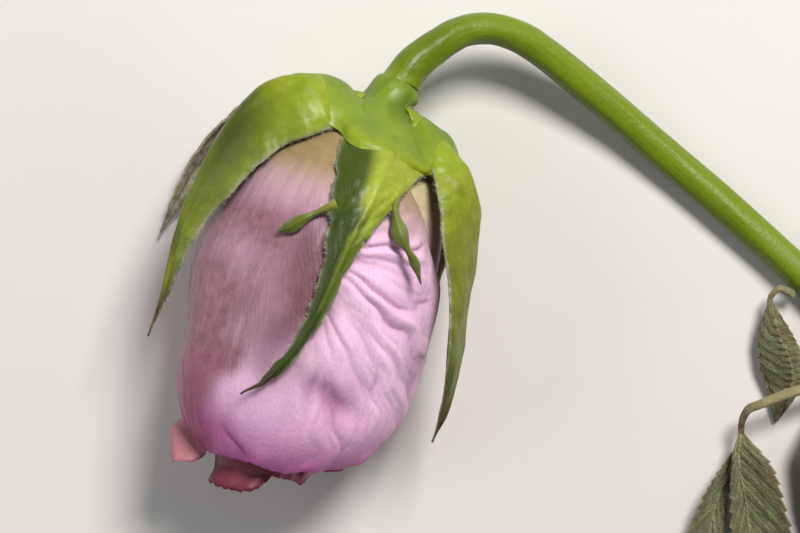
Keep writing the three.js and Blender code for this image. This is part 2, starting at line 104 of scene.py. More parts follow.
# %% [markdown]
# Smooth curves from a few numbers
#
# Every outline below is a short list of points. through() draws a smooth line through
# [x, y] pairs, and guide() draws a smooth path through points in space. Bezier objects
# could do this too, but arrays let us ask for thousands of places at once. hump() is a
# soft bell, and spread() says how far down and across each point of a sheet lies.

# %% Curves


def mix(a, b, t):
    return a + (b - a) * t


def fade(x, start, end):
    t = np.clip((x - start) / (end - start), 0, 1)
    return t * t * (3 - 2 * t)


def hump(x, middle, width):
    return np.exp(-(((x - middle) / width) ** 2))


def spread(row_count, columns):
    return np.meshgrid(np.linspace(0, 1, row_count), np.linspace(-1, 1, columns), indexing="ij")


def through(rows, x):
    knots = np.array(rows, float)
    xs = knots[:, 0]
    ys = knots[:, 1]
    before = np.maximum(np.arange(len(xs)) - 1, 0)
    after = np.minimum(np.arange(len(xs)) + 1, len(xs) - 1)
    slopes = (ys[after] - ys[before]) / (xs[after] - xs[before])
    x = np.clip(x, xs[0], xs[-1])
    i = np.clip(np.searchsorted(xs, x, side="right") - 1, 0, len(xs) - 2)
    width = xs[i + 1] - xs[i]
    t = (x - xs[i]) / width
    rise = mix(ys[i], ys[i + 1], t * t * (3 - 2 * t))
    return rise + slopes[i] * width * t * (1 - t) ** 2 - slopes[i + 1] * width * t * t * (1 - t)


def guide(points, t):
    p = np.array(points, float)
    padded = np.vstack([2 * p[0] - p[1], p, 2 * p[-1] - p[-2]])
    place = np.clip(t, 0, 1) * (len(p) - 1)
    i = np.minimum(place.astype(int), len(p) - 2)
    w = (place - i)[..., None]
    a, b, c, d = (padded[i + k] for k in range(4))
    start = (c - a) / 2
    end = (d - b) / 2
    bend = (2 * b - 2 * c + start + end) * w**3
    return bend + (-3 * b + 3 * c - 2 * start - end) * w**2 + start * w + b


print("halfway between 0 and 1:", round(float(through([[0, 0], [1, 1]], np.array(0.5))), 2))

# %% [markdown]
# Natural unevenness
#
# Nothing that grew is even. cloud() gives smooth hills and dips of about one unit, and
# billow() gives puffy cells with sharp valleys between them, as in crumpled crepe paper.
# The seed fixes the pattern, so the rose is the same in every run.

# %% Hills and creases
TABLE = 64


def cloud(x, y, seed):
    heights = np.random.default_rng(seed).uniform(-1, 1, (TABLE, TABLE))
    ix = np.floor(x).astype(int)
    iy = np.floor(y).astype(int)
    tx = fade(x - ix, 0, 1)
    ty = fade(y - iy, 0, 1)
    near = mix(heights[ix % TABLE, iy % TABLE], heights[(ix + 1) % TABLE, iy % TABLE], tx)
    far = mix(heights[ix % TABLE, (iy + 1) % TABLE], heights[(ix + 1) % TABLE, (iy + 1) % TABLE], tx)
    return mix(near, far, ty)


def billow(x, y, seed):
    return np.abs(cloud(x, y, seed) + 0.5 * cloud(2 * x, 2 * y, seed + 1))


print("tallest crease:", round(float(billow(np.arange(90) / 7, np.arange(90) / 9, 2).max()), 2))

# %% [markdown]
# The bud's own frame
#
# A petal is easy to describe round the bud's axis: how far along the bud, how far round it
# and how far out. in_bud() turns these into places in space. The bud is soft, so what lies
# below PRESS_BELOW is flattened by the table, and HOLLOWS are the soft dents of wilting.

# %% Bud frame
LEAN = math.radians(BUD_LEAN)
ALONG = np.array([-math.sin(LEAN), -math.cos(LEAN), 0.0])
ACROSS = np.array([math.cos(LEAN), -math.sin(LEAN), 0.0])
UP = np.array([0.0, 0.0, 1.0])
BUD_PROFILE = [
    [1.5, 0.33], [4.5, 0.55], [8, 0.73], [13, 0.865], [20, 0.955], [28, 0.995], [36, 1],
    [42, 0.955], [46.5, 0.85], [50, 0.71], [53.5, 0.53], [59, 0.45],
]
HOLLOWS = [
    [39.6, -94, 6.5, 36, 0.12], [26, -92, 5, 24, -0.05], [41, 32, 4.5, 30, 0.025],
    [33, -38, 9, 18, 0.025], [22, 40, 7, 16, 0.02],
]


def bud_radius(along, turn):
    share = through(BUD_PROFILE, along)
    for place, middle, length, width, depth in HOLLOWS:
        away = (turn - middle + 180) % 360 - 180
        share = share * (1 - depth * hump(along, place, length) * hump(away, 0, width))
    return BUD_RADIUS * share


def pressed(z):
    return np.where(z < PRESS_BELOW, PRESS_BELOW - (PRESS_BELOW - z) * PRESS_SHARE, z)


def in_bud(along, turn, out):
    angle = np.radians(turn)
    along, angle, out = np.broadcast_arrays(along, angle, out)
    point = CALYX + along[..., None] * ALONG
    point = point + (out * np.sin(angle))[..., None] * ACROSS + (out * np.cos(angle))[..., None] * UP
    point[..., 2] = pressed(point[..., 2])
    return point


print("widest place of the bud, in mm:", round(float(bud_radius(36.0, 0.0)), 1))

# %% [markdown]
# From a grid of points to a thin solid sheet
#
# A petal, a sepal and a leaf blade are the same kind of thing: a grid of points given a
# thickness. A Solidify modifier would give an even thickness. Doing it by hand lets the
# sheet thin out at its margin, keeps it above the table, and keeps named masks, such as
# rim and base, on the vertices, where the materials can read them.

# %% Sheets


def unit(vectors):
    return vectors / np.maximum(np.linalg.norm(vectors, axis=-1, keepdims=True), 1e-9)


def outward(rows):
    down = np.gradient(rows, axis=0)
    side = np.gradient(rows, axis=1)
    return unit(np.cross(down, side))


def add_mesh(name, vertices, faces, masks, uv=None):
    mesh = bpy.data.meshes.new(name)
    mesh.from_pydata(metres(vertices).tolist(), [], faces)
    for mask, values in masks.items():
        data = mesh.attributes.new(mask, "FLOAT", "POINT").data
        data.foreach_set("value", np.asarray(values, np.float32).ravel())
    if uv is not None:
        corners = np.empty(len(mesh.loops), np.int32)
        mesh.loops.foreach_get("vertex_index", corners)
        layer = mesh.uv_layers.new(name="across_along")
        layer.data.foreach_set("uv", np.asarray(uv, np.float32)[corners].ravel())
    mesh.shade_smooth()
    piece = bpy.data.objects.new(name, mesh)
    bpy.context.scene.collection.objects.link(piece)
    return piece


def settle(piece, skin, node=None):
    piece.data.materials.append(skin)
    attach(piece, "root")
    if node:
        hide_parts(node)


def grid_faces(m, n, first=0, flip=False):
    corner = first + np.arange(m - 1)[:, None] * n + np.arange(n - 1)[None, :]
    quads = np.stack([corner, corner + n, corner + n + 1, corner + 1], -1).reshape(-1, 4)
    return quads[:, ::-1] if flip else quads


def rim_faces(m, n):
    loop = [*range(n), *(i * n + n - 1 for i in range(1, m))]
    loop += [*((m - 1) * n + j for j in range(n - 2, -1, -1)), *(i * n for i in range(m - 2, 0, -1))]
    return [[a, b, b + m * n, a + m * n] for a, b in zip(loop, loop[1:] + loop[:1])]


def sheet(name, rows, thickness, masks):
    m, n, _ = rows.shape
    normals = outward(rows)
    half = np.broadcast_to(thickness, (m, n))[..., None] / 2
    middle = rows.copy()
    middle[..., 2] = np.maximum(middle[..., 2], half[..., 0] + FLOOR_GAP)
    both = np.concatenate([middle + normals * half, middle - normals * half]).reshape(-1, 3)
    both[:, 2] = np.maximum(both[:, 2], FLOOR_GAP)
    faces = [*grid_faces(m, n).tolist(), *grid_faces(m, n, m * n, True).tolist(), *rim_faces(m, n)]
    down, across = np.meshgrid(np.linspace(0, 1, m), np.linspace(0, 1, n), indexing="ij")
    uv = np.tile(np.stack([across, down], -1).reshape(-1, 2), (2, 1))
    doubled = {}
    for mask, values in masks.items():
        doubled[mask] = np.tile(np.broadcast_to(values, (m, n)).ravel(), 2)
    return add_mesh(name, both, faces, doubled, uv)


def thin_margin(thickness, margin, reach):
    return thickness * mix(THIN_SHARE, 1, np.sqrt(fade(margin, 0, reach)))


print("faces of a sheet of 3 by 3 points:", 2 * len(grid_faces(3, 3)) + len(rim_faces(3, 3)))

# %% [markdown]
# Short ways to wire nodes
#
# Materials are node trees. Board adds a node, sets it and wires it in one call, so that
# a material below reads like a recipe: tint() lays one colour over another where a mask
# says so. A plain colour is written as it looks on screen, and paint() turns it into the
# linear numbers that Blender mixes light with.

# %% Node board


def paint(red, green, blue):
    shares = [tone / 255 for tone in (red, green, blue)]
    linear = [((c + 0.055) / 1.055) ** 2.4 if c > 0.04045 else c / 12.92 for c in shares]
    return (*linear, 1.0)


class Board:
    def __init__(self, tree):
        self.tree = tree

    def feed(self, socket, value):
        if isinstance(value, bpy.types.NodeSocket):
            self.tree.links.new(value, socket)
        else:
            socket.default_value = value

    def add(self, kind, inputs=None, **settings):
        node = self.tree.nodes.new(kind)
        for key, value in settings.items():
            setattr(node, key, value)
        for key, value in (inputs or {}).items():
            self.feed(node.inputs[key], value)
        node.location.x = 180 * len(self.tree.nodes)
        return node

    def mask(self, name):
        return self.add("ShaderNodeAttribute", attribute_name=name).outputs["Fac"]

    def sum(self, operation, a, b=0.0):
        return self.add("ShaderNodeMath", {0: a, 1: b}, operation=operation).outputs[0]

    def between(self, value, low, high, to_low=0.0, to_high=1.0):
        ranges = {"Value": value, "From Min": low, "From Max": high, "To Min": to_low, "To Max": to_high}
        return self.add("ShaderNodeMapRange", ranges).outputs[0]

    def blend(self, factor, a, b):
        node = self.add("ShaderNodeMix", data_type="RGBA")
        self.feed(node.inputs[0], factor)
        self.feed(node.inputs[6], a)
        self.feed(node.inputs[7], b)
        return node.outputs[2]

    def tint(self, under, over, mask, share):
        mask = self.mask(mask) if isinstance(mask, str) else mask
        return self.blend(self.sum("MULTIPLY", mask, share), under, over)

    def noise(self, place, scale, shift, detail, roughness):
        inputs = {"Vector": place, "Scale": scale, "W": shift, "Detail": detail, "Roughness": roughness}
        return self.add("ShaderNodeTexNoise", inputs, noise_dimensions="4D").outputs[0]

    def group(self, tree, **inputs):
        node = self.add("ShaderNodeGroup", node_tree=tree)
        for key, value in inputs.items():
            self.feed(node.inputs[key], value)
        return node.outputs[0]


def new_group(name, sockets, output):
    tree = bpy.data.node_groups.new(name, "ShaderNodeTree")
    for socket, default in sockets.items():
        made = tree.interface.new_socket(socket, in_out="INPUT", socket_type="NodeSocketFloat")
        made.default_value = default
    tree.interface.new_socket(output, in_out="OUTPUT", socket_type="NodeSocketFloat")
    board = Board(tree)
    given = board.add("NodeGroupInput")
    taken = board.add("NodeGroupOutput")
    return tree, board, given.outputs, taken.inputs[output]


print("middle grey in linear numbers:", round(paint(128, 128, 128)[0], 3))

# %% [markdown]
# Effects that several materials share
#
# Plant skin is blotchy, veined and finely crinkled. Each effect is one node group with
# its own sliders: Mottle gives soft blotches, Veins gives fine lines that run along a
# sheet, and Crinkle gives the fine grain that catches the light.

# %% Mottle group


def mottle_group():
    sockets = {"Size": 3.0, "Shift": 0.0, "Contrast": 0.5}
    tree, board, given, result = new_group("Mottle", sockets, "Mask")
    place = board.add("ShaderNodeTexCoord").outputs["Object"]
    scale = board.sum("DIVIDE", 1.0 / MM, given["Size"])
    noise = board.noise(place, scale, given["Shift"], 4.0, 0.6)
    reach = board.sum("MULTIPLY", board.sum("SUBTRACT", 1.0, given["Contrast"]), 0.35)
    low = board.sum("SUBTRACT", 0.5, reach)
    high = board.sum("ADD", 0.501, reach)
    board.feed(result, board.between(noise, low, high))
    return tree


MOTTLE = mottle_group()
print("group:", MOTTLE.name)

# %% Veins group


def veins_group():
    sockets = {"Count": 30.0, "Wander": 1.0, "Width": 0.3, "Shift": 0.0}
    tree, board, given, result = new_group("Veins", sockets, "Mask")
    uv = board.add("ShaderNodeUVMap", uv_map="across_along").outputs[0]
    stretched = board.add("ShaderNodeMapping", {"Vector": uv, "Scale": (9.0, 3.0, 1.0)}).outputs[0]
    sway = board.noise(stretched, 1.0, given["Shift"], 5.0, 0.55)
    across = board.add("ShaderNodeSeparateXYZ", {"Vector": uv}).outputs[0]
    ordered = board.sum("MULTIPLY", across, given["Count"])
    wander = board.sum("MULTIPLY", given["Wander"], 8.0)
    drifting = board.sum("ADD", ordered, board.sum("MULTIPLY", sway, wander))
    triangle = board.sum("PINGPONG", drifting, 0.5)
    line = board.sum("DIVIDE", triangle, given["Width"])
    board.feed(result, board.sum("SUBTRACT", 1.0, board.sum("MINIMUM", line, 1.0)))
    return tree


VEINS = veins_group()
print("group:", VEINS.name)

# %% Crinkle group


def crinkle_group():
    tree, board, given, result = new_group("Crinkle", {"Size": 0.8, "Shift": 0.0}, "Height")
    place = board.add("ShaderNodeTexCoord").outputs["Object"]
    scale = board.sum("DIVIDE", 1.0 / MM, given["Size"])
    grain = board.noise(place, scale, given["Shift"], 6.0, 0.65)
    cells = board.add("ShaderNodeTexVoronoi", {"Vector": place, "Scale": scale}, feature="SMOOTH_F1")
    board.feed(result, board.sum("ADD", grain, board.sum("MULTIPLY", cells.outputs[0], 0.5)))
    return tree


CRINKLE = crinkle_group()
print("group:", CRINKLE.name)

# %% Start of a material


def new_material(name):
    material = bpy.data.materials.new(name)
    material.use_nodes = True
    board = Board(material.node_tree)
    shader = material.node_tree.nodes["Principled BSDF"]
    return material, board, shader


def set_constants(shader, constants):
    for socket, value in constants.items():
        shader.inputs[socket].default_value = value


def add_bump(board, shader, height, strength, distance):
    settings = {"Height": height, "Strength": strength, "Distance": distance * MM}
    board.feed(shader.inputs["Normal"], board.add("ShaderNodeBump", settings).outputs[0])


print("material helpers ready")

# %% [markdown]
# Petal skin
#
# A fresh petal is dull velvet. This one is soaked: wet tissue turns see-through, so it
# looks darker, browner and glossy, and the vein lines show. The rim keeps the strongest
# dye. The base is cream, painted darker as shade on most petals and lighter as painted
# light on the back right one. The valleys between the folds get painted mauve shade, and
# the middle of the soaked part gets a darker painted shade. The masks for the base, the
# fold shade, the soaked part, the soaked shade, the rim and the corner say where each
# colour goes, and the colours are the arguments, so one recipe makes every petal.

# %% Petal material
# Painted shade: the base cream, darkened to stand for the shade at the petal bases.
SHADED_CREAM = paint(152, 130, 90)
# Painted light: the same cream made lighter, for the lit base of the back right petal.
LIT_CREAM = paint(240, 228, 176)
STRAW = paint(122, 98, 62)
MAUVE_BROWN = paint(106, 58, 66)
MAUVE_GREY = paint(152, 102, 112)
MAGENTA = paint(186, 56, 152)
LILAC = paint(240, 212, 228)
# Painted shade: the mauve of the shaded valleys between the folds.
FOLD_SHADE_MAUVE = paint(146, 92, 128)
WET_VEIN = paint(78, 38, 46)
WET_SHADE = paint(84, 42, 50)
CORNER = paint(132, 44, 74)
PETAL_GLOSS = {
    "Coat Roughness": 0.2, "Specular IOR Level": 0.3, "Sheen Weight": 0.04,
    "Subsurface Weight": 0.15, "Subsurface Scale": 0.0008,
}


def petal_material(name, body, rim, shift, depth=0.55, bloom=0.55, cream=SHADED_CREAM):
    material, board, shader = new_material(name)
    blotches = board.group(MOTTLE, Size=6.0, Shift=shift, Contrast=0.2)
    flecks = board.group(MOTTLE, Size=1.6, Shift=shift + 3, Contrast=0.4)
    veins = board.group(VEINS, Count=96.0, Wander=1.4, Width=0.36, Shift=shift)
    colour = board.tint(body, LILAC, blotches, bloom)
    colour = board.tint(colour, rim, veins, 0.1)
    base = board.between(board.mask("base"), 0.15, 0.95)
    # The base turns cream: painted shade on most petals, painted light on the back right one.
    colour = board.blend(base, colour, board.tint(cream, STRAW, flecks, 0.5))
    # Painted shade in the valleys between the folds.
    colour = board.tint(colour, FOLD_SHADE_MAUVE, "fold_shade", 0.75)
    soaked = board.sum("MULTIPLY", board.mask("soaked"), board.between(blotches, 0.0, 1.0, 0.85, 1.0))
    wet_colour = board.blend(flecks, MAUVE_BROWN, MAUVE_GREY)
    colour = board.blend(soaked, colour, board.tint(wet_colour, WET_VEIN, veins, 0.35))
    # Painted shade: a darker patch in the middle of the soaked part.
    colour = board.tint(colour, WET_SHADE, "soaked_shade", 0.7)
    edge = board.sum("POWER", board.mask("rim"), board.between(blotches, 0.0, 1.0, 1.5, 0.8))
    colour = board.tint(colour, rim, edge, depth)
    colour = board.tint(colour, CORNER, "corner", 0.75)
    board.feed(shader.inputs["Base Color"], colour)
    board.feed(shader.inputs["Roughness"], board.between(soaked, 0.0, 1.0, 0.55, 0.42))
    board.feed(shader.inputs["Coat Weight"], board.between(soaked, 0.0, 1.0, 0.0, 0.2))
    set_constants(shader, PETAL_GLOSS)
    grain = board.group(CRINKLE, Size=0.7, Shift=shift)
    height = board.sum("ADD", grain, board.sum("MULTIPLY", veins, -0.2))
    add_bump(board, shader, height, 0.4, 0.2)
    return material


FRONT_PINK = paint(232, 186, 218)
CORAL = paint(166, 88, 92)
DUSTY_PINK = paint(200, 152, 170)
PLUM = paint(150, 66, 96)
CRIMSON = paint(124, 28, 54)
HEART_PINK = paint(196, 108, 146)
CORAL_RIM = paint(138, 50, 76)
CRIMSON_RIM = paint(84, 8, 34)
HEART_RIM = paint(144, 24, 82)
PETAL_SKINS = {
    "petal_front": petal_material("front_petal_skin", FRONT_PINK, MAGENTA, 0.0, 0.9),
    "petal_back_left": petal_material("left_petal_skin", CORAL, CORAL_RIM, 11.0, 0.35, 0.3),
    "petal_back_right": petal_material("right_petal_skin", DUSTY_PINK, MAGENTA, 23.0, 0.5, cream=LIT_CREAM),
    "petal_left_inner": petal_material("left_inner_petal_skin", PLUM, MAGENTA, 31.0),
    "petal_lower_lip": petal_material("lip_petal_skin", CRIMSON, CRIMSON_RIM, 47.0, 0.8, 0.12),
    "heart": petal_material("heart_petal_skin", HEART_PINK, HEART_RIM, 59.0, 0.9),
}
print("petal skins:", len(PETAL_SKINS))

# %% [markdown]
# Petals
#
# Three broad petals close the bud, two more show behind them, and eight wind round each
# other inside, each a little tighter than the last. left and right say how far round the
# bud a petal's two edges stand, and tip says how far along its margin reaches. A petal with
# a lip curls its margin out from lip_from onwards, and fray is how ragged that margin is.

# %% Outer petals
OUTER_PETALS = {
    "petal_front": {
        "layer": 0, "tuck": 0.35, "grid": (190, 200),
        "left": [[2, -42], [6, -66], [12, -88], [20, -101], [36, -104], [54, -100]],
        "right": [[2, 16], [6, 23], [9.7, 33], [13, 46], [17, 57], [22, 70], [28, 82], [36, 92], [54, 96]],
        "tip": [[-1, 42.5], [-0.85, 45.4], [-0.74, 47], [-0.66, 49.8], [-0.58, 52.4], [-0.48, 53],
                [-0.3, 52.7], [0, 52.2], [0.25, 52], [0.34, 50.9], [0.46, 50.5], [0.68, 48.2],
                [0.82, 45.6], [1, 39.5]],
    },
    "petal_back_left": {
        "layer": 1, "tuck": 0.35,
        "left": [[2, -162], [10, -192], [24, -204], [54, -200]],
        "right": [[2, -92], [10, -66], [24, -58], [44, -58], [56, -62]],
        "tip": [[-1, 44], [-0.5, 50], [0, 51.6], [0.3, 52.4], [0.62, 55.2], [0.86, 56.4], [1, 55.4]],
        "lip": 4.6,
        "lip_from": [[-1, 51], [0.3, 50.6], [0.5, 49.2], [0.75, 49.2], [0.9, 51.6], [1, 53.4]],
    },
    "petal_back_right": {
        "layer": 2, "tuck": 0.35,
        "left": [[2, 60], [6, 34], [10, 24], [24, 22], [54, 44]],
        "right": [[2, 158], [10, 190], [24, 206], [54, 202]],
        "tip": [[-1, 42], [-0.5, 49], [0, 51.6], [0.6, 50], [1, 44]],
    },
    "petal_left_inner": {
        "layer": 3, "tuck": -0.35,
        "left": [[2, -110], [12, -138], [54, -138]],
        "right": [[2, -58], [12, -20], [54, -16]],
        "tip": [[-1, 47], [-0.5, 50], [0, 51.4], [0.5, 51], [1, 48]],
    },
    "petal_lower_lip": {
        "layer": 4, "tuck": -0.35,
        "left": [[2, -38], [12, -84], [54, -77]],
        "right": [[2, 12], [12, 58], [54, 48]],
        "tip": [[-1, 51], [-0.9, 54], [-0.8, 56], [-0.6, 57], [-0.33, 57.2], [0, 56.8],
                [0.3, 55.9], [0.45, 54.2], [0.55, 52.3], [0.7, 50], [1, 48]],
        "lip": 1.9, "fray": 0.35,
        "lip_from": [[-1, 55.4], [-0.6, 53.8], [-0.2, 53], [1, 53]],
    },
}
print("outer petals:", len(OUTER_PETALS))

# %% Inner petals
INNER_COUNT = 8
FIRST_INNER_LAYER = 5
INNER_TURN = 137.5
FIRST_INNER_TURN = 117.5
INNER_CLAW = 30
INNER_HALF_WIDTH = 84
INNER_WIDENING = 3.4
INNER_TIP = 54.2
INNER_TIP_STEP = 0.35
INNER_LIPS = (0.6, 0.3)
INNER_LIP_FROM = 52


def inner_petal(index):
    middle = FIRST_INNER_TURN + INNER_TURN * index
    half = INNER_HALF_WIDTH + index * INNER_WIDENING
    reach = INNER_TIP - index * INNER_TIP_STEP
    petal = {
        "layer": FIRST_INNER_LAYER + index, "tuck": -0.45, "grid": (64, 70),
        "tip": [[-1, reach - 6], [-0.6, reach - 1.6], [0, reach], [0.6, reach - 1], [1, reach - 5]],
        "lip": INNER_LIPS[index % 2], "lip_from": [[-1, INNER_LIP_FROM], [1, INNER_LIP_FROM]],
    }
    for side, sign in (("left", -1), ("right", 1)):
        claw = middle + sign * INNER_CLAW
        edge = middle + sign * half
        petal[side] = [[2, claw], [12, middle + sign * 0.9 * half], [20, edge], [58, edge]]
    return petal


print("first inner petal reaches:", inner_petal(0)["tip"][2][1])

# %% [markdown]
# Relief on the petals
#
# Far from the eye a petal is one smooth bowl, but near to it the wilting shows: the front
# petal is crumpled on its right, where it has dried into folds that fan out from FOLD_HUB,
# and slack and smooth on its left, where it is soaked. CREASES are the deepest folds, each
# with its start, end, width and depth. They are all in the mesh, because a bump alone would
# leave the outline and the shadows too smooth.

# %% Petal relief
OUTER_START = 1.9
INNER_START = 2.9
OUTER_WHORL = 3
LIP_LENGTH = 4
DRY_TURN = (-3, 14)
FOLD_MARGIN = (1.2, 5.0)
ARC_AT_EDGE = 26
FOLD_HUB = np.array([21.0, -5.0])
CREASES = [
    [[48.6, -27], [51.6, -6], 0.5, 0.5],
    [[38.2, 8], [41.4, 38], 1.5, 0.9],
    [[26.5, 24], [30, 52], 0.8, 0.45],
    [[22, 30], [24, 60], 0.7, 0.35],
    [[30, 6], [38, 20], 0.9, 0.5],
]


def groove(along, arc, start, end, width, depth):
    a = np.array([start[0], math.radians(start[1]) * BUD_RADIUS])
    b = np.array([end[0], math.radians(end[1]) * BUD_RADIUS])
    line = b - a
    place = np.stack([along - a[0], arc - a[1]], -1)
    t = np.clip(place @ line / (line @ line), 0, 1)
    away = np.linalg.norm(place - t[..., None] * line, axis=-1)
    return -depth * hump(away, 0, width) * np.sin(np.pi * (0.1 + 0.8 * t))


def front_folds(along, arc):
    away = np.stack([along - FOLD_HUB[0], arc - FOLD_HUB[1]], -1)
    ray = np.arctan2(away[..., 0], away[..., 1])
    reach = np.linalg.norm(away, axis=-1)
    wander = 0.35 * cloud(arc / 4, along / 4, 31)
    broad = billow(ray * 7 + wander + 20, reach / 15, 3)
    fine = billow(ray * 19 + 2 * wander + 50, reach / 7, 5)
    return broad, fine


def front_relief(along, turn, u, margin):
    arc = np.radians(turn) * BUD_RADIUS
    dry = fade(turn, *DRY_TURN) * fade(along, 8, 18) * (1 - 0.6 * fade(along, 43, 48))
    broad, fine = front_folds(along, arc)
    calm = fade((1 - u) * ARC_AT_EDGE, *FOLD_MARGIN)
    relief = dry * calm * (0.8 * broad + 0.22 * fine - 0.5)
    slack = 0.3 * cloud(arc / 6, along / 9, 8) + 0.14 * billow(arc / 2.4, along / 7, 9)
    relief = relief + (1 - dry) * slack
    relief = relief + 0.05 * cloud(turn / 2.4, along / 16, 12)
    for start, end, width, depth in CREASES:
        relief = relief + groove(along, arc, start, end, width, depth)
    wave = np.sin(arc * 0.62 + 1.3) * 0.3 + cloud(arc / 2.1, along / 9, 14) * 0.25
    return relief * fade(along, 3, 9) + wave * (1 - fade(margin, 0, 3.2)) * fade(turn, -90, -60)


# Painted shade: darker lines in the valleys between the dry folds and along the two deepest creases.
def front_fold_shade(along, turn, u):
    arc = np.radians(turn) * BUD_RADIUS
    broad, fine = front_folds(along, arc)
    lines = 0.8 * np.exp(-broad / 0.22) + 0.25 * np.exp(-fine / 0.2)
    dry = fade(turn, *DRY_TURN) * fade(along, 10, 20) * fade((1 - u) * ARC_AT_EDGE, *FOLD_MARGIN)
    dents = sum(-groove(along, arc, start, end, 1.3 * width, 0.9) for start, end, width, _ in CREASES[:2])
    return np.minimum(1, 0.6 * dry * lines + dents)


def plain_relief(along, turn, margin, seed):
    arc = np.radians(turn) * BUD_RADIUS
    folds = 0.14 * cloud(arc / 5, along / 10, seed) + 0.06 * billow(arc / 2, along / 8, seed + 1)
    wave = 0.16 * np.sin(arc * 0.9 + seed) * (1 - fade(margin, 0, 2.4))
    return folds * fade(along, 4, 12) + wave


print("deepest crease:", max(crease[3] for crease in CREASES), "mm")

# %% Petal builder
OUTER_GRID = (90, 90)
PLAIN_FRAY = 0.16
CREAM_REACH = (8, 21)


def ragged(petal, u, seed, depth):
    fray = cloud(u * 22, u * 0 + seed, seed) * 0.6 + cloud(u * 60, u * 0 + seed, seed + 1) * 0.4
    return through(petal["tip"], u) + depth * fray


def front_soaked(along, turn):
    border = through([[8, 6], [20, 8], [30, 4], [38, -12], [44, -36], [50, -36], [55, -30]], along)
    wander = 7 * cloud(along / 4, turn / 9, 41)
    wet = 1 - fade(turn + wander, border - 16, border + 8)
    patchy = 0.94 + 0.22 * cloud(along / 5, turn / 14, 43)
    return np.clip(wet * patchy, 0, 1) * fade(along, 10, 20)


# Painted shade: a darker patch in the middle of the soaked part of the front petal.
def front_soaked_shade(along, turn):
    middle = hump(turn, -9, 15) * fade(along, 13, 22) * (1 - fade(along, 34, 46))
    return np.clip(0.95 * middle * (0.8 + 0.5 * cloud(along / 5, turn / 12, 47)), 0, 1)


def petal_lip(petal, along, u):
    if "lip" not in petal:
        return 0
    lip_from = through(petal["lip_from"], u)
    return petal["lip"] * fade(along, lip_from, lip_from + LIP_LENGTH)


def front_masks(along, turn, u, margin):
    rim = np.exp(-margin / 5.5) * fade(along, 30, 45)
    return {
        "rim": np.maximum(rim, 0.8 * fade(along, 42, 50) * (1 - fade(turn, -30, 20))),
        "soaked": front_soaked(along, turn),
        "fold_shade": front_fold_shade(along, turn, u),
        "soaked_shade": front_soaked_shade(along, turn),
        "corner": fade(along, 36, 48) * (1 - fade(turn, -58, -12)),
    }


def plain_masks(along, turn, margin, seed):
    none = 0 * along
    return {
        "rim": np.exp(-margin / 3.6) * fade(along, 30, 45),
        "soaked": 0.3 * fade(cloud(along / 9, turn / 25, seed + 5), -0.2, 0.9),
        "fold_shade": none, "soaked_shade": none, "corner": none,
    }


def build_petal(name, petal, seed, skin):
    t, u = spread(*petal.get("grid", OUTER_GRID))
    start = OUTER_START if petal["layer"] < OUTER_WHORL else INNER_START
    reach = ragged(petal, u, seed, petal.get("fray", PLAIN_FRAY))
    along = mix(start, reach, t)
    turn = mix(through(petal["left"], along), through(petal["right"], along), (u + 1) / 2)
    share = 1 - LAYER_STEP * (petal["layer"] + petal["tuck"] * u)
    out = bud_radius(along, turn) * share + petal_lip(petal, along, u)
    span = np.radians(through(petal["right"], along) - through(petal["left"], along)) / 2 * out
    margin = np.minimum(reach - along, (1 - np.abs(u)) * span)
    if name == "petal_front":
        out = out + front_relief(along, turn, u, margin)
        masks = front_masks(along, turn, u, margin)
    else:
        out = out + plain_relief(along, turn, margin, seed)
        masks = plain_masks(along, turn, margin, seed)
    masks["base"] = 1 - fade(along, *CREAM_REACH)
    thickness = thin_margin(PETAL_THICKNESS, margin, 1.2)
    settle(sheet(name + "_skin", in_bud(along, turn, out), thickness, masks), skin, name)


print("petal builder ready")

# %% Build the bud


def all_petals():
    for name, petal in OUTER_PETALS.items():
        yield name, petal, PETAL_SKINS[name]
    for index in range(INNER_COUNT):
        yield f"petal_inner_{index + 1}", inner_petal(index), PETAL_SKINS["heart"]


for order, (name, petal, skin) in enumerate(all_petals()):
    build_petal(name, petal, 100 + 7 * order, skin)
print("petals built:", INNER_COUNT + len(OUTER_PETALS))

# %% [markdown]
# Green skin
#
# Sepals, the hip under the flower and the stem are one living green, but never one flat
# colour: the cup is pale and bluish, the sepals yellow-green with darker blotches, their
# tips brown and their inner faces grey with felt. The pale and dark masks also carry
# painted light and shade: a painted highlight along the stem's lit side, painted shade
# along its far side, on the front sepal's left strip and in a patch on the left sepal.
# One recipe takes the colours, and the masks pale, dark, blue, brown and felt say where
# each goes.

# %% Green material
YELLOW_GREEN = paint(144, 158, 26)
DEEP_GREEN = paint(62, 72, 2)
CUP_GREEN = paint(150, 174, 46)
BLUE_GREEN = paint(72, 122, 44)
BROWN = paint(58, 36, 22)
FELT = paint(188, 186, 168)
FELT_SHADE = paint(112, 112, 78)
GREEN_GLOSS = {
    "Coat Roughness": 0.25, "Specular IOR Level": 0.25,
    "Subsurface Weight": 0.08, "Subsurface Scale": 0.0006,
}


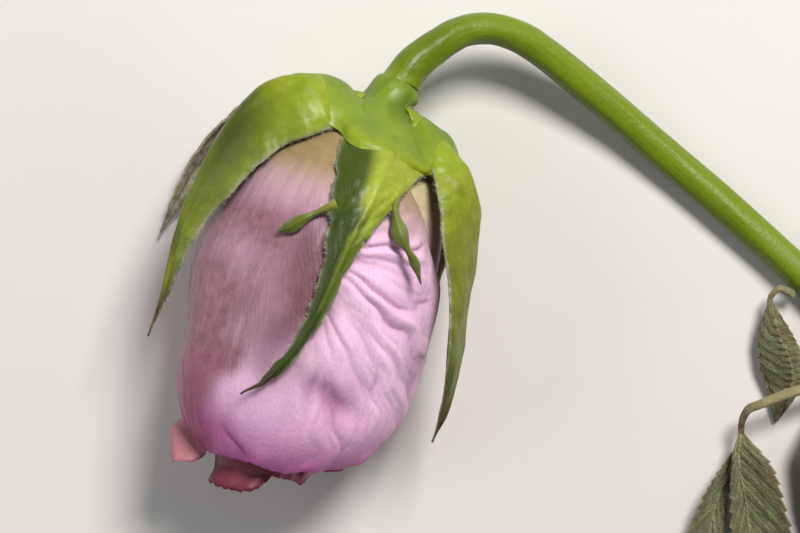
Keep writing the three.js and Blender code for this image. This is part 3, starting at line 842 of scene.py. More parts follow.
def green_material(name, main, dark, shift, blotch_size=3.0, roughness=0.42, streak=0.12):
    material, board, shader = new_material(name)
    blotches = board.group(MOTTLE, Size=blotch_size, Shift=shift, Contrast=0.35)
    flecks = board.group(MOTTLE, Size=0.9, Shift=shift + 5, Contrast=0.5)
    streaks = board.group(VEINS, Count=22.0, Wander=0.9, Width=0.5, Shift=shift)
    colour = board.tint(main, dark, blotches, 0.6)
    colour = board.tint(colour, CUP_GREEN, streaks, streak)
    colour = board.tint(colour, dark, flecks, 0.25)
    colour = board.blend(board.mask("dark"), colour, dark)
    colour = board.tint(colour, CUP_GREEN, "pale", 0.8)
    colour = board.blend(board.mask("blue"), colour, BLUE_GREEN)
    rust = board.sum("MULTIPLY", board.mask("brown"), board.between(flecks, 0.0, 1.0, 0.75, 1.0))
    colour = board.blend(rust, colour, BROWN)
    felt = board.mask("felt")
    colour = board.blend(felt, colour, board.blend(flecks, FELT, FELT_SHADE))
    board.feed(shader.inputs["Base Color"], colour)
    board.feed(shader.inputs["Roughness"], board.between(felt, 0.0, 1.0, roughness, 0.85))
    board.feed(shader.inputs["Coat Weight"], board.between(felt, 0.0, 0.6, 0.1, 0.0))
    set_constants(shader, GREEN_GLOSS)
    grain = board.group(CRINKLE, Size=0.6, Shift=shift)
    height = board.sum("ADD", grain, board.sum("MULTIPLY", streaks, 0.15))
    add_bump(board, shader, height, 0.45, 0.2)
    return material


BRIGHT_GREEN = paint(168, 178, 58)
BOTTLE_GREEN = paint(46, 62, 2)
HAY = paint(160, 150, 116)
DRY_BROWN = paint(92, 80, 50)
STEM_GREEN = paint(100, 118, 4)
STEM_SHADE = paint(74, 92, 2)
SEPAL_SKIN = green_material("sepal_skin", YELLOW_GREEN, DEEP_GREEN, 3.0)
FRONT_SEPAL_SKIN = green_material("front_sepal_skin", BRIGHT_GREEN, BOTTLE_GREEN, 9.0, streak=0.08)
DRY_SEPAL_SKIN = green_material("dry_sepal_skin", HAY, DRY_BROWN, 21.0, 2.0, 0.7)
STEM_SKIN = green_material("stem_skin", STEM_GREEN, STEM_SHADE, 15.0, 7.0, 0.36)
print("green skins ready")

# %% [markdown]
# Sepals
#
# Five sepals stand round the hip. On this wilted flower they have folded back and hang
# along the bud like the ribs of a hood. Each is drawn through three lines, its two margins
# and its middle, as rows of along, turn and out. The cross-section between the lines is an
# arch with a slight fold, so the sepal is hollow towards the bud.

# %% Sepal lines
SEPALS = {
    "sepal_front": {
        "margin_a": [[1, -33, 6.2], [4.8, -21, 10.8], [10.3, -11, 15.3], [15, -6, 17.3],
                     [18.4, -3.5, 18.2], [21.8, -1, 18.8], [27.7, 0, 19.1], [33.5, -1.5, 19.2],
                     [38.4, -7, 19], [42.8, -14.5, 18.2]],
        "middle": [[1, 6, 6.2], [5, 10, 12.1], [9.8, 9, 16.4], [13.8, 8, 18], [17.8, 6, 18.9],
                   [21.2, 5, 19.5], [27.6, 3.8, 19.7], [33.4, 1, 19.6], [38.4, -5, 19.2],
                   [43.1, -13.2, 18.3]],
        "margin_b": [[1, 38, 6.2], [6.2, 41, 12.3], [9.2, 28.5, 14.9], [12.6, 21, 16.5],
                     [17.2, 14, 18], [20.6, 10, 18.8], [27.5, 7, 19.2], [33.4, 3.2, 19.3],
                     [38.6, -3.2, 19], [43, -11.8, 18.2]],
    },
    "sepal_left": {
        "margin_a": [[-0.2, -104, 6.6], [1.4, -104, 10.6], [4, -104, 14.2], [7.4, -102, 17],
                     [12, -98, 19], [16.4, -94, 20.4], [21.4, -87, 21.4], [27.6, -81, 21.4],
                     [34, -78.5, 21], [40.4, -75, 21.3]],
        "middle": [[-1.2, -62, 6.6], [-1.9, -59, 10.6], [-0.8, -61, 14.6], [2.2, -67, 17.8],
                   [7, -73, 20], [12.8, -76, 21.4], [20.6, -77, 22.1], [27.6, -77, 21.9],
                   [34, -75.6, 21.3], [40.5, -73.8, 21.5]],
        "margin_b": [[-0.2, -34, 6.6], [2.6, -29, 8.9], [5.2, -31, 11.8], [8.4, -44.5, 14.6],
                     [12.7, -52.5, 16.9], [17.7, -61, 18.1], [23, -71, 19.3], [27.6, -73, 20.2],
                     [33.4, -72.5, 20.6], [40.3, -72.6, 21.3]],
    },
    "sepal_right": {
        "margin_a": [[-0.2, 42, 6.6], [2.6, 45.5, 8.9], [5, 47, 12], [7.6, 47.5, 14.4],
                     [10.6, 47.5, 16.6], [14.6, 48, 18.8], [20.2, 55.5, 20.4], [26.1, 62, 21.5],
                     [33, 71.5, 21.9], [41.6, 80, 22]],
        "middle": [[-1.2, 66, 6.6], [0.2, 62, 9.2], [2.6, 63, 13], [5.2, 67, 16.1], [9, 72, 17.9],
                   [14.6, 74, 19.4], [21.1, 76, 20.5], [28.2, 79, 21.7], [35.4, 80.5, 22.4],
                   [41.8, 81, 22.2]],
        "margin_b": [[-0.2, 104, 6.6], [1.8, 100, 9], [4.6, 99, 12.2], [7.6, 99, 14.8],
                     [11.6, 98.5, 16.8], [16.6, 98, 17.8], [22.4, 97, 18.5], [28.2, 94, 19.8],
                     [35.6, 86, 21.6], [41.8, 82, 22.1]],
    },
    "sepal_back_left": {
        "margin_a": [[-0.2, -177, 6.6], [2.6, -166, 10.6], [6, -152, 14.6], [9.6, -140, 18.6],
                     [13.4, -131, 22.2], [19.4, -123.5, 26.4], [26.4, -119.4, 29.2]],
        "middle": [[-1, -142, 6.6], [-0.8, -134, 12.4], [2.4, -128, 18.6], [7, -124, 22.8],
                   [12, -121, 25.8], [19.6, -119, 28.3], [26.6, -118.6, 29.4]],
        "margin_b": [[-0.2, -112, 6.6], [0.4, -109, 13.2], [3, -107, 19.4], [7.8, -110, 23],
                     [12.3, -113, 26], [19.8, -116, 28.4], [26.5, -118, 29.3]],
    },
    "sepal_back_right": {
        "margin_a": [[-0.2, 112, 6.6], [0.6, 108, 10.6], [4, 109, 14], [9, 112, 16.4], [16, 118, 17.8],
                     [25, 124, 18.6], [34, 128.6, 19.2]],
        "middle": [[-1, 143, 6.6], [0, 140, 11.2], [4.4, 136, 15], [9.6, 133, 17.4], [16.4, 131, 19],
                   [25.2, 130.4, 19.8], [34.3, 130, 19.6]],
        "margin_b": [[-0.2, 176, 6.6], [2.6, 170, 9.8], [6.4, 160, 13.2], [11.4, 150, 16.4],
                     [17.4, 143, 18.4], [25.4, 137, 19.3], [34, 131.6, 19.3]],
    },
}
print("sepals:", len(SEPALS))

# %% Lofts through three lines


def loft(lines, grid, fold):
    row_count, columns = grid
    t = np.linspace(0, 1, row_count)
    p, q, r = (guide(line, t)[:, None, :] for line in lines)
    u = np.linspace(-1, 1, columns)[None, :, None]
    arch = q * (1 - u * u) + p * (u * u - u) / 2 + r * (u * u + u) / 2
    peak = q + np.where(u < 0, p - q, r - q) * np.abs(u)
    return mix(arch, peak, fold)


def margin_of(rows):
    across = np.linalg.norm(rows[:, -1] - rows[:, 0], axis=-1)[:, None] / 2
    u = np.linspace(-1, 1, rows.shape[1])[None, :]
    return (1 - np.abs(u)) * across


def frayed(rows, seed, depth, teeth):
    m, n, _ = rows.shape
    t = np.linspace(0, 1, m)
    side = unit(rows[:, -1] - rows[:, 0])
    u = np.linspace(-1, 1, n)
    for sign, shift in ((-1, 0), (1, 50)):
        wave = depth * cloud(t * teeth + shift, t * 0, seed)
        near = np.clip(sign * u, 0, 1) ** 3
        rows = rows + sign * side[:, None, :] * (wave[:, None] * near[None, :])[..., None]
    return rows


print("loft helpers ready")

# %% [markdown]
# Making one sepal
#
# The sepal's base is drawn inwards under the cup of the hip, so that the two grow out of
# each other as they do on the plant. Masks colour it: pale felt along both margins and on
# the inner face, dark patches towards the tip, and brown where it has dried out. The dark
# mask also holds painted shade on the front sepal's left strip below its crest, and in one
# patch on the left sepal.

# %% Sepal builder
SEPAL_GRID = (170, 60)
BASE_OUT = 5.2
BASE_ALONG = -1.9
FRONT_BASE_ALONG = 0.2
SINK_DEPTH = 0.45
SINK_REACH = (9, 13)
TIP_TAPER = 0.8
TIP_HOOK = np.array([-0.9, 0.4, 0.0])


def reach_of(rows):
    away = rows - CALYX
    return np.linalg.norm(away - (away @ ALONG)[..., None] * ALONG, axis=-1)


def bud_line(line, base_along):
    turn = line[0][1]
    rows = np.array([[base_along, turn, BASE_OUT], *line], float)
    return in_bud(rows[:, 0], rows[:, 1], rows[:, 2])


def sepal_masks(name, t, u, rows, seed):
    margin = margin_of(rows)
    front = name == "sepal_front"
    patches = fade(cloud(t * 9, u * 1.6, seed + 7), 0.0, 0.8)
    dark = fade(t, 0.36, 0.9) * 0.5 + 0.6 * patches * fade(t, 0.3, 0.45)
    if front:
        # Painted shade on the front sepal's left strip, below its crest; its lower part is made darker as
        # well.
        dark = dark + 0.95 * fade(-u, -0.1, 0.35) * fade(t, 0.19, 0.24) + 0.5 * fade(t, 0.4, 0.6)
    if name == "sepal_left":
        # Painted shade: one dark patch in the middle of the left sepal.
        dark = dark + 0.9 * hump(t, 0.52, 0.13) * hump(u, 0.35, 0.5)
    dark = np.clip(dark, 0, 1)
    tips = fade(t, 0.1, 0.2) * (1 - 0.85 * fade(t, 0.8, 0.92))
    uneven = 0.75 + 0.35 * cloud(t * 45, u, seed + 8)
    brown = fade(t, 0.86, 0.95)
    if name == "sepal_back_left":
        brown = np.maximum(brown, 0.45 * patches * fade(margin, 0.3, 1.2))
    return {
        "pale": (1 - dark) * (0.3 if front else 0.3 * (1 - fade(t, 0.32, 0.5))),
        "dark": dark,
        "felt": np.clip(uneven * np.exp(-margin / 0.2), 0, 1) * tips,
        "brown": np.minimum(brown, 1),
    }


def inner_felt(name, t, masks):
    inside = {"felt": np.maximum(masks["felt"], 0.75 * fade(t, 0.1, 0.25))}
    if name == "sepal_right":
        inside["brown"] = np.maximum(masks["brown"], 0.7 * fade(t, 0.5, 0.62))
    return inside


def build_sepal(name, lines, seed, skin):
    base = FRONT_BASE_ALONG if name == "sepal_front" else BASE_ALONG
    rows = loft([bud_line(line, base) for line in lines.values()], SEPAL_GRID, 0.25)
    t, u = spread(*SEPAL_GRID)
    rows = frayed(rows, seed, 0.3, 42)
    spine = rows[:, SEPAL_GRID[1] // 2, None, :]
    rows = mix(rows, spine, (TIP_TAPER * fade(t, 0.88, 1))[..., None])
    if name == "sepal_front":
        rows = rows + TIP_HOOK * fade(t, 0.94, 1)[..., None]
    ridge = 0.3 * hump(u, 0.12, 0.12) * fade(t, 0.12, 0.3)
    lumps = 0.22 * cloud(t * 14, u * 2.5, seed) + 0.1 * cloud(t * 34, u * 6, seed + 1)
    relief = ridge + lumps * fade(t, 0.08, 0.2)
    rows = rows + outward(rows) * (relief * np.minimum(1, margin_of(rows) / 1.2))[..., None]
    rows = rows - outward(rows) * (SINK_DEPTH * (1 - fade(reach_of(rows), *SINK_REACH)))[..., None]
    thickness = thin_margin(SEPAL_THICKNESS, margin_of(rows), 1.1)
    masks = sepal_masks(name, t, u, rows, seed)
    piece = sheet(name + "_skin", rows, thickness, masks)
    for mask, values in inner_felt(name, t, masks).items():
        both = np.concatenate([masks[mask].ravel(), values.ravel()]).astype(np.float32)
        piece.data.attributes[mask].data.foreach_set("value", both)
    settle(piece, skin, name)
    return rows


SEPAL_SKINS = {"sepal_front": FRONT_SEPAL_SKIN, "sepal_back_left": DRY_SEPAL_SKIN}
sepal_rows = {}
for order, (name, lines) in enumerate(SEPALS.items()):
    sepal_rows[name] = build_sepal(name, lines, 300 + 9 * order, SEPAL_SKINS.get(name, SEPAL_SKIN))
print("sepals built:", len(sepal_rows))

# %% [markdown]
# Downy hairs
#
# The margins of the sepals are downy. Each hair is a thin spike with three sides that
# stands on the margin and leans a random way. A particle system could grow such hairs, but
# a few hundred spikes in one mesh are plain geometry that every program can read.

# %% Hairs
HAIR_RADIUS = 0.028
HAIR_LENGTHS = (0.35, 0.95)
HAIRS_PER_MARGIN = 230
HAIR_PALE = paint(226, 224, 196)
HAIR_SHADE = paint(176, 174, 130)


def unit_noise(dice, count):
    return unit(dice.normal(size=(count, 3)))


def hair_mesh(name, roots, directions, dice):
    count = len(roots)
    lengths = dice.uniform(*HAIR_LENGTHS, count)[:, None]
    side = unit(np.cross(directions, unit_noise(dice, count)))
    other = np.cross(directions, side)
    angles = [2 * math.pi * step / 3 for step in range(3)]
    corners = [roots + HAIR_RADIUS * (math.cos(angle) * side + math.sin(angle) * other) for angle in angles]
    corners.append(roots + directions * lengths)
    vertices = np.stack(corners, 1).reshape(-1, 3)
    vertices[:, 2] = np.maximum(vertices[:, 2], FLOOR_GAP)
    pattern = np.array([[0, 1, 3], [1, 2, 3], [2, 0, 3], [2, 1, 0]])
    faces = (4 * np.arange(count)[:, None, None] + pattern).reshape(-1, 3)
    return add_mesh(name, vertices, faces.tolist(), {})


def margin_hairs(name, rows, seed):
    dice = np.random.default_rng(seed)
    roots, directions = [], []
    side = unit(rows[:, -1] - rows[:, 0])
    for sign, edge in ((-1, 0), (1, -1)):
        line = rows[:, edge]
        place = np.sort(dice.uniform(0.12, 0.97, HAIRS_PER_MARGIN)) * (len(line) - 1)
        low = place.astype(int)
        share = (place - low)[:, None]
        roots.append(mix(line[low], line[low + 1], share))
        directions.append(unit(sign * side[low] + 0.75 * unit_noise(dice, HAIRS_PER_MARGIN)))
    piece = hair_mesh(name, np.concatenate(roots), np.concatenate(directions), dice)
    settle(piece, HAIR_SKIN)


def hair_material():
    material, board, shader = new_material("hair_skin")
    shade = board.group(MOTTLE, Size=3.0, Shift=5.0, Contrast=0.5)
    board.feed(shader.inputs["Base Color"], board.blend(shade, HAIR_PALE, HAIR_SHADE))
    set_constants(shader, {"Roughness": 0.6})
    return material


HAIR_SKIN = hair_material()
for order, name in enumerate(SEPALS):
    margin_hairs(name + "_hairs", sepal_rows[name], 700 + order)
print("hairs on each sepal:", 2 * HAIRS_PER_MARGIN)

# %% [markdown]
# Side lobes of the front sepal
#
# Rose sepals carry small ragged lobes. The left one points sideways with a swollen end,
# and the right one hangs down and swells twice before its tip. Each is a narrow sheet
# whose width follows a short curve.

# %% Lobes
LOBES = {
    "lobe_left": {
        "path": [[14.6, -4, 17.9], [16.5, -11, 17.8], [17.7, -15, 18.1], [19.3, -19, 18.3],
                 [20.5, -24, 18.6]],
        "width": [[0, 0.8], [0.2, 0.38], [0.45, 0.5], [0.7, 0.9], [0.86, 0.75], [0.95, 0.4], [1, 0.05]],
    },
    "lobe_right": {
        "path": [[11.2, 20, 16.4], [14.1, 24.5, 17.3], [16.2, 28, 18.4], [18.6, 36, 19.1],
                 [21.1, 42.5, 19.3]],
        "width": [[0, 0.9], [0.18, 0.5], [0.36, 1.1], [0.5, 0.95], [0.62, 0.4], [0.76, 0.65],
                  [0.88, 0.3], [1, 0.05]],
    },
}
LOBE_GRID = (60, 17)
LOBE_THICKNESS = 0.6


def build_lobe(name, lobe, seed):
    t, u = (values[..., None] for values in spread(*LOBE_GRID))
    line = np.array(lobe["path"], float)
    middle = guide(in_bud(line[:, 0], line[:, 1], line[:, 2]), t[:, 0, 0])[:, None, :]
    side = unit(np.cross(unit(np.gradient(middle, axis=0)), UP))
    width = through(lobe["width"], t)
    rows = middle + side * width * u
    rows = rows - UP * 0.35 * width * u * u + UP * 0.14 * hump(u, 0, 0.2)
    rows = rows + UP * 0.12 * cloud(t * 9, t * 0, seed)
    margin = margin_of(rows)
    masks = {"pale": 0, "dark": 0.45 + 0.4 * t[..., 0], "felt": 0.5 * np.exp(-margin / 0.2), "brown": 0}
    settle(sheet(name, rows, thin_margin(LOBE_THICKNESS, margin, 0.5), masks), FRONT_SEPAL_SKIN)


for order, (name, lobe) in enumerate(LOBES.items()):
    build_lobe(name, lobe, 380 + order)
print("lobes built:", len(LOBES))

# %% [markdown]
# Stem, neck and cup
#
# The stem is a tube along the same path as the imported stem, swollen at the neck. The cup
# is the swollen hip with the thick green bases of the sepals on it. It is drawn through
# ribs that run from the neck to the rim. In front it ends in a crest that overhangs the
# front sepal, where that sepal has turned back on itself. Both are made of rings.

# %% Tubes
STEM_PATH = [
    [-0.64, 24.88, 15.6], [0.3, 26.52, 15.5], [1.91, 28.76, 15.1], [4.6, 31.2, 14.1], [8.7, 33.8, 12.2],
    [13.1, 34.6, 10.4], [17.5, 33.4, 8.6], [22, 30.7, 6.9], [31.1, 23.7, 4.2], [40.1, 16.1, 2.6],
    [49.1, 8.4, 2.4], [58, 0.4, 2.4], [66.9, -8, 2.4], [77.4, -18.1, 2.4], [89.3, -30.3, 2.4],
    [100.4, -42.5, 2.4],
]
STEM_SWELL = [
    [0, 1.32], [0.03, 1.26], [0.07, 1.14], [0.14, 1.08], [0.21, 1.0], [0.29, 0.93], [0.43, 0.97],
    [0.6, 1], [1, 1.04],
]


def ring_frame(centre):
    ahead = unit(np.gradient(centre, axis=0))
    side = unit(np.cross(ahead, UP + 1e-6))
    return side, np.cross(side, ahead)


def ring_faces(count, sides, looped):
    index = np.arange(count * sides).reshape(count, sides)
    if looped:
        index = np.concatenate([index, index[:1]])
    else:
        index[0] = index[0, 0]
        index[-1] = index[-1, 0]
    following = np.roll(index, -1, axis=1)
    quads = np.stack([index[:-1], index[1:], following[1:], following[:-1]], -1).reshape(-1, 4)
    quads = quads[:, ::-1] if looped else quads
    return [list(dict.fromkeys(quad)) for quad in quads.tolist()]


def ring_mesh(name, rings, masks, looped=False):
    count, sides, _ = rings.shape
    faces = ring_faces(count, sides, looped)
    used = np.unique(np.concatenate([np.array(face) for face in faces]))
    renumber = np.zeros(count * sides, int)
    renumber[used] = np.arange(len(used))
    faces = [renumber[face].tolist() for face in faces]
    down, around = np.meshgrid(np.linspace(0, 1, count), np.linspace(0, 1, sides), indexing="ij")
    uv = np.stack([around, down], -1).reshape(-1, 2)[used]
    kept_masks = {mask: values.ravel()[used] for mask, values in masks.items()}
    return add_mesh(name, rings.reshape(-1, 3)[used], faces, kept_masks, uv)


CAP_SHARES = (0.86, 0.45, 0.0)


def turns(sides):
    return np.linspace(0, 2 * np.pi, sides, endpoint=False)


def tube(name, centre, radius, masks, relief, end_mask=None):
    m, sides = relief.shape
    side, lift = ring_frame(centre)
    angle = turns(sides)[None, :, None]
    spoke = side[:, None, :] * np.cos(angle) + lift[:, None, :] * np.sin(angle)
    rings = centre[:, None, :] + spoke * (radius[:, None] + relief)[..., None]
    rings[..., 2] = np.maximum(rings[..., 2], FLOOR_GAP)
    rows = [rings]
    for share in CAP_SHARES:
        rows.insert(0, mix(centre[0], rings[0], share)[None])
        rows.append(mix(centre[-1], rings[-1], share)[None])
    cap = len(CAP_SHARES)
    padded = {}
    for mask, values in masks.items():
        padded[mask] = np.pad(np.broadcast_to(values, (m, sides)), ((cap, cap), (0, 0)), "edge")
    if end_mask:
        padded[end_mask][-cap:] = 1
    return ring_mesh(name, np.concatenate(rows), padded)


print("points on the stem's path:", len(STEM_PATH))

# %% Stem
STEM_SIDES = 48
STEM_RINGS = 300
SCAR_AT = 0.056
SCAR_SIDE = 0.35
KNUCKLE_AT = 0.03
SUNNY_SIDE = 0.4


def build_stem():
    place = np.linspace(0, 1, STEM_RINGS)[:, None]
    angle = turns(STEM_SIDES)[None, :]
    relief = 0.05 * np.cos(angle * 5 + 4 * np.sin(place * 9)) + 0.05 * cloud(place * 40, angle * 2, 401)
    relief = relief + 0.1 * cloud(place * 16, angle * 0.9, 402) * (1 - fade(place, 0.2, 0.4))
    away = (angle - SCAR_SIDE + np.pi) % (2 * np.pi) - np.pi
    scar = hump(place, SCAR_AT, 0.006) * hump(away, 0, 0.8)
    knuckle = hump(place, KNUCKLE_AT, 0.012) * hump(away, 0, 0.9)
    relief = relief - 0.45 * scar + 0.35 * knuckle
    # Painted light and shade: a painted highlight along the stem's lit side, painted shade along its far
    # side.
    lit = np.sin(angle - SUNNY_SIDE)
    pale = 0.4 * (1 - fade(place, 0.03, 0.12)) + 0.25 * fade(lit, 0.1, 1) * fade(place, 0.2, 0.35)
    masks = {
        "pale": pale + 0.2 * fade(cloud(angle * 1.6, place * 5, 403), 0.1, 0.8),
        "dark": 0.35 * fade(-lit, 0.2, 1) + 0.15 * hump(place, 0.2, 0.1),
        "brown": np.minimum(1, 1.5 * scar),
        "felt": 0,
    }
    radius = STEM_RADIUS * through(STEM_SWELL, place[:, 0])
    piece = tube("stem_skin_piece", guide(STEM_PATH, place[:, 0]), radius, masks, relief, "pale")
    settle(piece, STEM_SKIN, "stem")


build_stem()
print("stem rings:", STEM_RINGS)

# %% Cup ribs
# Each rib is a turn and six points, along and out, that run down the hip to the cup's rim.
CUP_RIBS = [
    [-156, [[-1.7, 4.2], [-1.4, 6.2], [-1.2, 8.4], [-0.5, 10.4], [1.0, 12.2], [2.8, 13.6]]],
    [-132, [[-1.6, 4.2], [-1.7, 6.4], [-2.0, 9.2], [-1.7, 11.6], [-1.0, 13.4], [0.8, 15.2]]],
    [-108, [[-1.2, 4], [-1.0, 6.2], [-0.8, 9], [-0.65, 11.2], [0.2, 13], [1.8, 14.2]]],
    [-84, [[-1.0, 3.4], [-1.1, 5], [-1.5, 8], [-1.1, 10.6], [0.4, 13], [3.2, 14.8]]],
    [-60, [[-0.9, 3.4], [-1.0, 4.9], [-2.0, 7.4], [-2.1, 10.2], [-1.0, 12.8], [1.6, 15]]],
    [-42, [[-1.1, 3.8], [-0.7, 5.6], [-0.9, 7.8], [-0.5, 9.8], [1.2, 11.8], [4.2, 13.4]]],
    [-24, [[-1.4, 4.1], [0.1, 6.4], [1.1, 8.1], [2.1, 9.7], [3.4, 10.7], [4.8, 10.8]]],
    [-10, [[-1.6, 4.2], [0.6, 6.8], [1.7, 8.5], [3, 10.2], [4.7, 12.2], [6.2, 12.9]]],
    [5, [[-1.6, 4.3], [0.6, 7], [1.8, 8.6], [3.2, 10.6], [4.9, 12.9], [6.4, 13.3]]],
    [24, [[-1.6, 4.3], [0.6, 6.9], [2, 8.8], [3.4, 10.8], [5.2, 12.9], [6.6, 13.1]]],
    [41, [[-1.7, 4.2], [0.4, 6.4], [2.2, 8.8], [4.2, 11.2], [5.9, 13], [6.6, 12.6]]],
    [52, [[-2.0, 3.9], [-0.6, 5], [0.1, 7.6], [1.3, 9.8], [3.2, 11.6], [6, 13]]],
    [66, [[-2.3, 3.6], [-1.1, 4.2], [-0.9, 7], [0.2, 9.4], [2.0, 11.8], [5, 13.8]]],
    [84, [[-2.3, 3.6], [-1.1, 4.2], [-0.7, 6.8], [0.8, 9.4], [2.9, 11.8], [5.8, 13.6]]],
    [106, [[-2.2, 3.7], [-1.0, 5], [-0.6, 7.8], [-0.2, 10.2], [1.5, 12.2], [3.6, 13]]],
    [132, [[-1.9, 4.1], [-1.6, 6], [-1.4, 8.6], [-0.7, 10.6], [0.9, 12.6], [3.6, 14]]],
    [156, [[-1.9, 4.2], [-1.4, 6.2], [-1.1, 8.2], [-0.4, 10], [1.3, 11.8], [3.4, 13]]],
    [182, [[-1.8, 4.2], [-0.9, 6.2], [-0.3, 8], [0.6, 9.4], [1.8, 10.4], [2.8, 11]]],
]
NECK_RINGS = [[0.05, 0.85], [0.012, 1.03]]
CUP_SIDES = 160
CUP_RINGS = 90
CUP_THICKNESS = 0.35


def looped_curve(points, count):
    knots = len(points)
    place = np.linspace(0, knots, count, endpoint=False)
    low = place.astype(int)
    t = (place - low)[:, None, None]
    a, b, c, d = (points[(low + step) % knots] for step in (-1, 0, 1, 2))
    straight = 2 * b + (c - a) * t
    bend = (2 * a - 5 * b + 4 * c - d) * t**2 + (3 * b - a - 3 * c + d) * t**3
    return (straight + bend) / 2


def neck_point(turn, place, share):
    before, centre, after = guide(STEM_PATH, np.array([max(place - 0.01, 0), place, place + 0.01]))
    ahead = unit(after - before)
    spoke = math.sin(math.radians(turn)) * ACROSS + math.cos(math.radians(turn)) * UP
    spoke = unit(spoke - (spoke @ ahead) * ahead)
    return centre + spoke * share * STEM_RADIUS * through(STEM_SWELL, np.array([place]))


def cup_knots(turn, points):
    neck = np.array([neck_point(turn, place, share) for place, share in NECK_RINGS])
    points = np.array(points, float)
    return np.concatenate([neck, in_bud(points[:, 0], float(turn), points[:, 1])])


print("cup ribs:", len(CUP_RIBS))

# %% Cup


def cup_masks(down, turn):
    blue = fade(cloud(turn * 2.6, down * 1.2, 414), 0.25, 0.8) * hump(down, 0.55, 0.2)
    rim = fade(down, 0.7, 0.95)
    mottled = fade(cloud(turn * 2, down * 3, 413), 0, 1)
    blotched = fade(cloud(turn * 3, down * 4, 415), 0.1, 0.8)
    masks = {
        "pale": mix(0.4 - 0.3 * mottled, 0.25, rim),
        "dark": (0.48 - 0.18 * fade(down, 0.3, 0.6) + 0.3 * blotched) * (1 - rim),
        "blue": 0.22 * (1 - rim) + 0.6 * blue,
        "brown": 0.2 * fade(cloud(turn * 5, down * 7, 416), 0.5, 1),
        "felt": 0 * down,
    }
    return {mask: np.concatenate([values, values[::-1]]) for mask, values in masks.items()}


def build_cup():
    place = np.linspace(0, 1, CUP_RINGS)
    ribs = np.stack([guide(cup_knots(turn, points), place) for turn, points in CUP_RIBS])
    rings = looped_curve(ribs, CUP_SIDES).transpose(1, 0, 2)
    down, turn = np.meshgrid(place, turns(CUP_SIDES), indexing="ij")
    around = np.roll(rings, -1, axis=1) - np.roll(rings, 1, axis=1)
    normals = unit(np.cross(around, np.gradient(rings, axis=0)))
    lumps = 0.12 * cloud(np.cos(turn) * 3 + down * 5, np.sin(turn) * 3, 411)
    streaks = 0.06 * cloud(turn * 9, down * 1.5, 412) + 0.1 * cloud(turn * 5, down * 6, 417)
    relief = (lumps + streaks) * fade(down, 0.15, 0.4) * (1 - fade(down, 0.9, 1))
    outer = rings + normals * relief[..., None]
    inner = outer - normals * CUP_THICKNESS
    both = np.concatenate([outer, inner[::-1]])
    piece = ring_mesh("cup_skin_piece", both, cup_masks(down, turn), looped=True)
    settle(piece, SEPAL_SKIN, "receptacle")


build_cup()
print("cup points:", 2 * CUP_RINGS * CUP_SIDES)

# %% [markdown]
# Withered leaves
#
# Dry rose leaves fold up along the midrib and show their grey undersides. A blade is drawn
# through its two margins and its midrib, the margin is cut into small teeth, and raised
# veins run from the midrib to the teeth. The vein lines are part of the mesh.

# %% Leaf material
LEAF_NET = paint(146, 148, 114)
LEAF_VEIN = paint(166, 162, 116)
LEAF_BROWN = paint(92, 62, 36)
LEAF_GREEN = paint(104, 114, 72)
LEAF_SHADE = paint(50, 58, 30)
STALK_STRAW = paint(126, 120, 76)
STALK_SHADE = paint(72, 66, 36)


def leaf_material(name, body, shade, shift):
    material, board, shader = new_material(name)
    blotches = board.group(MOTTLE, Size=4.0, Shift=shift, Contrast=0.45)
    spots = board.group(MOTTLE, Size=1.3, Shift=shift + 2, Contrast=0.7)
    place = board.add("ShaderNodeTexCoord").outputs["Object"]
    cells = {"Vector": place, "Scale": 1.3 / MM}
    edge = board.add("ShaderNodeTexVoronoi", cells, feature="DISTANCE_TO_EDGE").outputs[0]
    net = board.between(edge, 0.0, 0.16, 1.0, 0.0)
    colour = board.tint(body, shade, blotches, 0.75)
    colour = board.tint(colour, LEAF_NET, net, 0.3)
    colour = board.tint(colour, LEAF_VEIN, "vein", 0.65)
    colour = board.tint(colour, LEAF_BROWN, spots, board.mask("dry"))
    board.feed(shader.inputs["Base Color"], colour)
    board.feed(shader.inputs["Roughness"], board.between(blotches, 0.0, 1.0, 0.6, 0.8))
    set_constants(shader, {"Sheen Weight": 0.15})
    height = board.sum("ADD", net, board.group(CRINKLE, Size=0.5, Shift=shift))
    add_bump(board, shader, height, 0.5, 0.12)
    return material


LEAF_SKIN = leaf_material("leaf_skin", LEAF_GREEN, LEAF_SHADE, 71.0)
STALK_SKIN = leaf_material("stalk_skin", STALK_STRAW, STALK_SHADE, 83.0)
print("leaf skins ready")

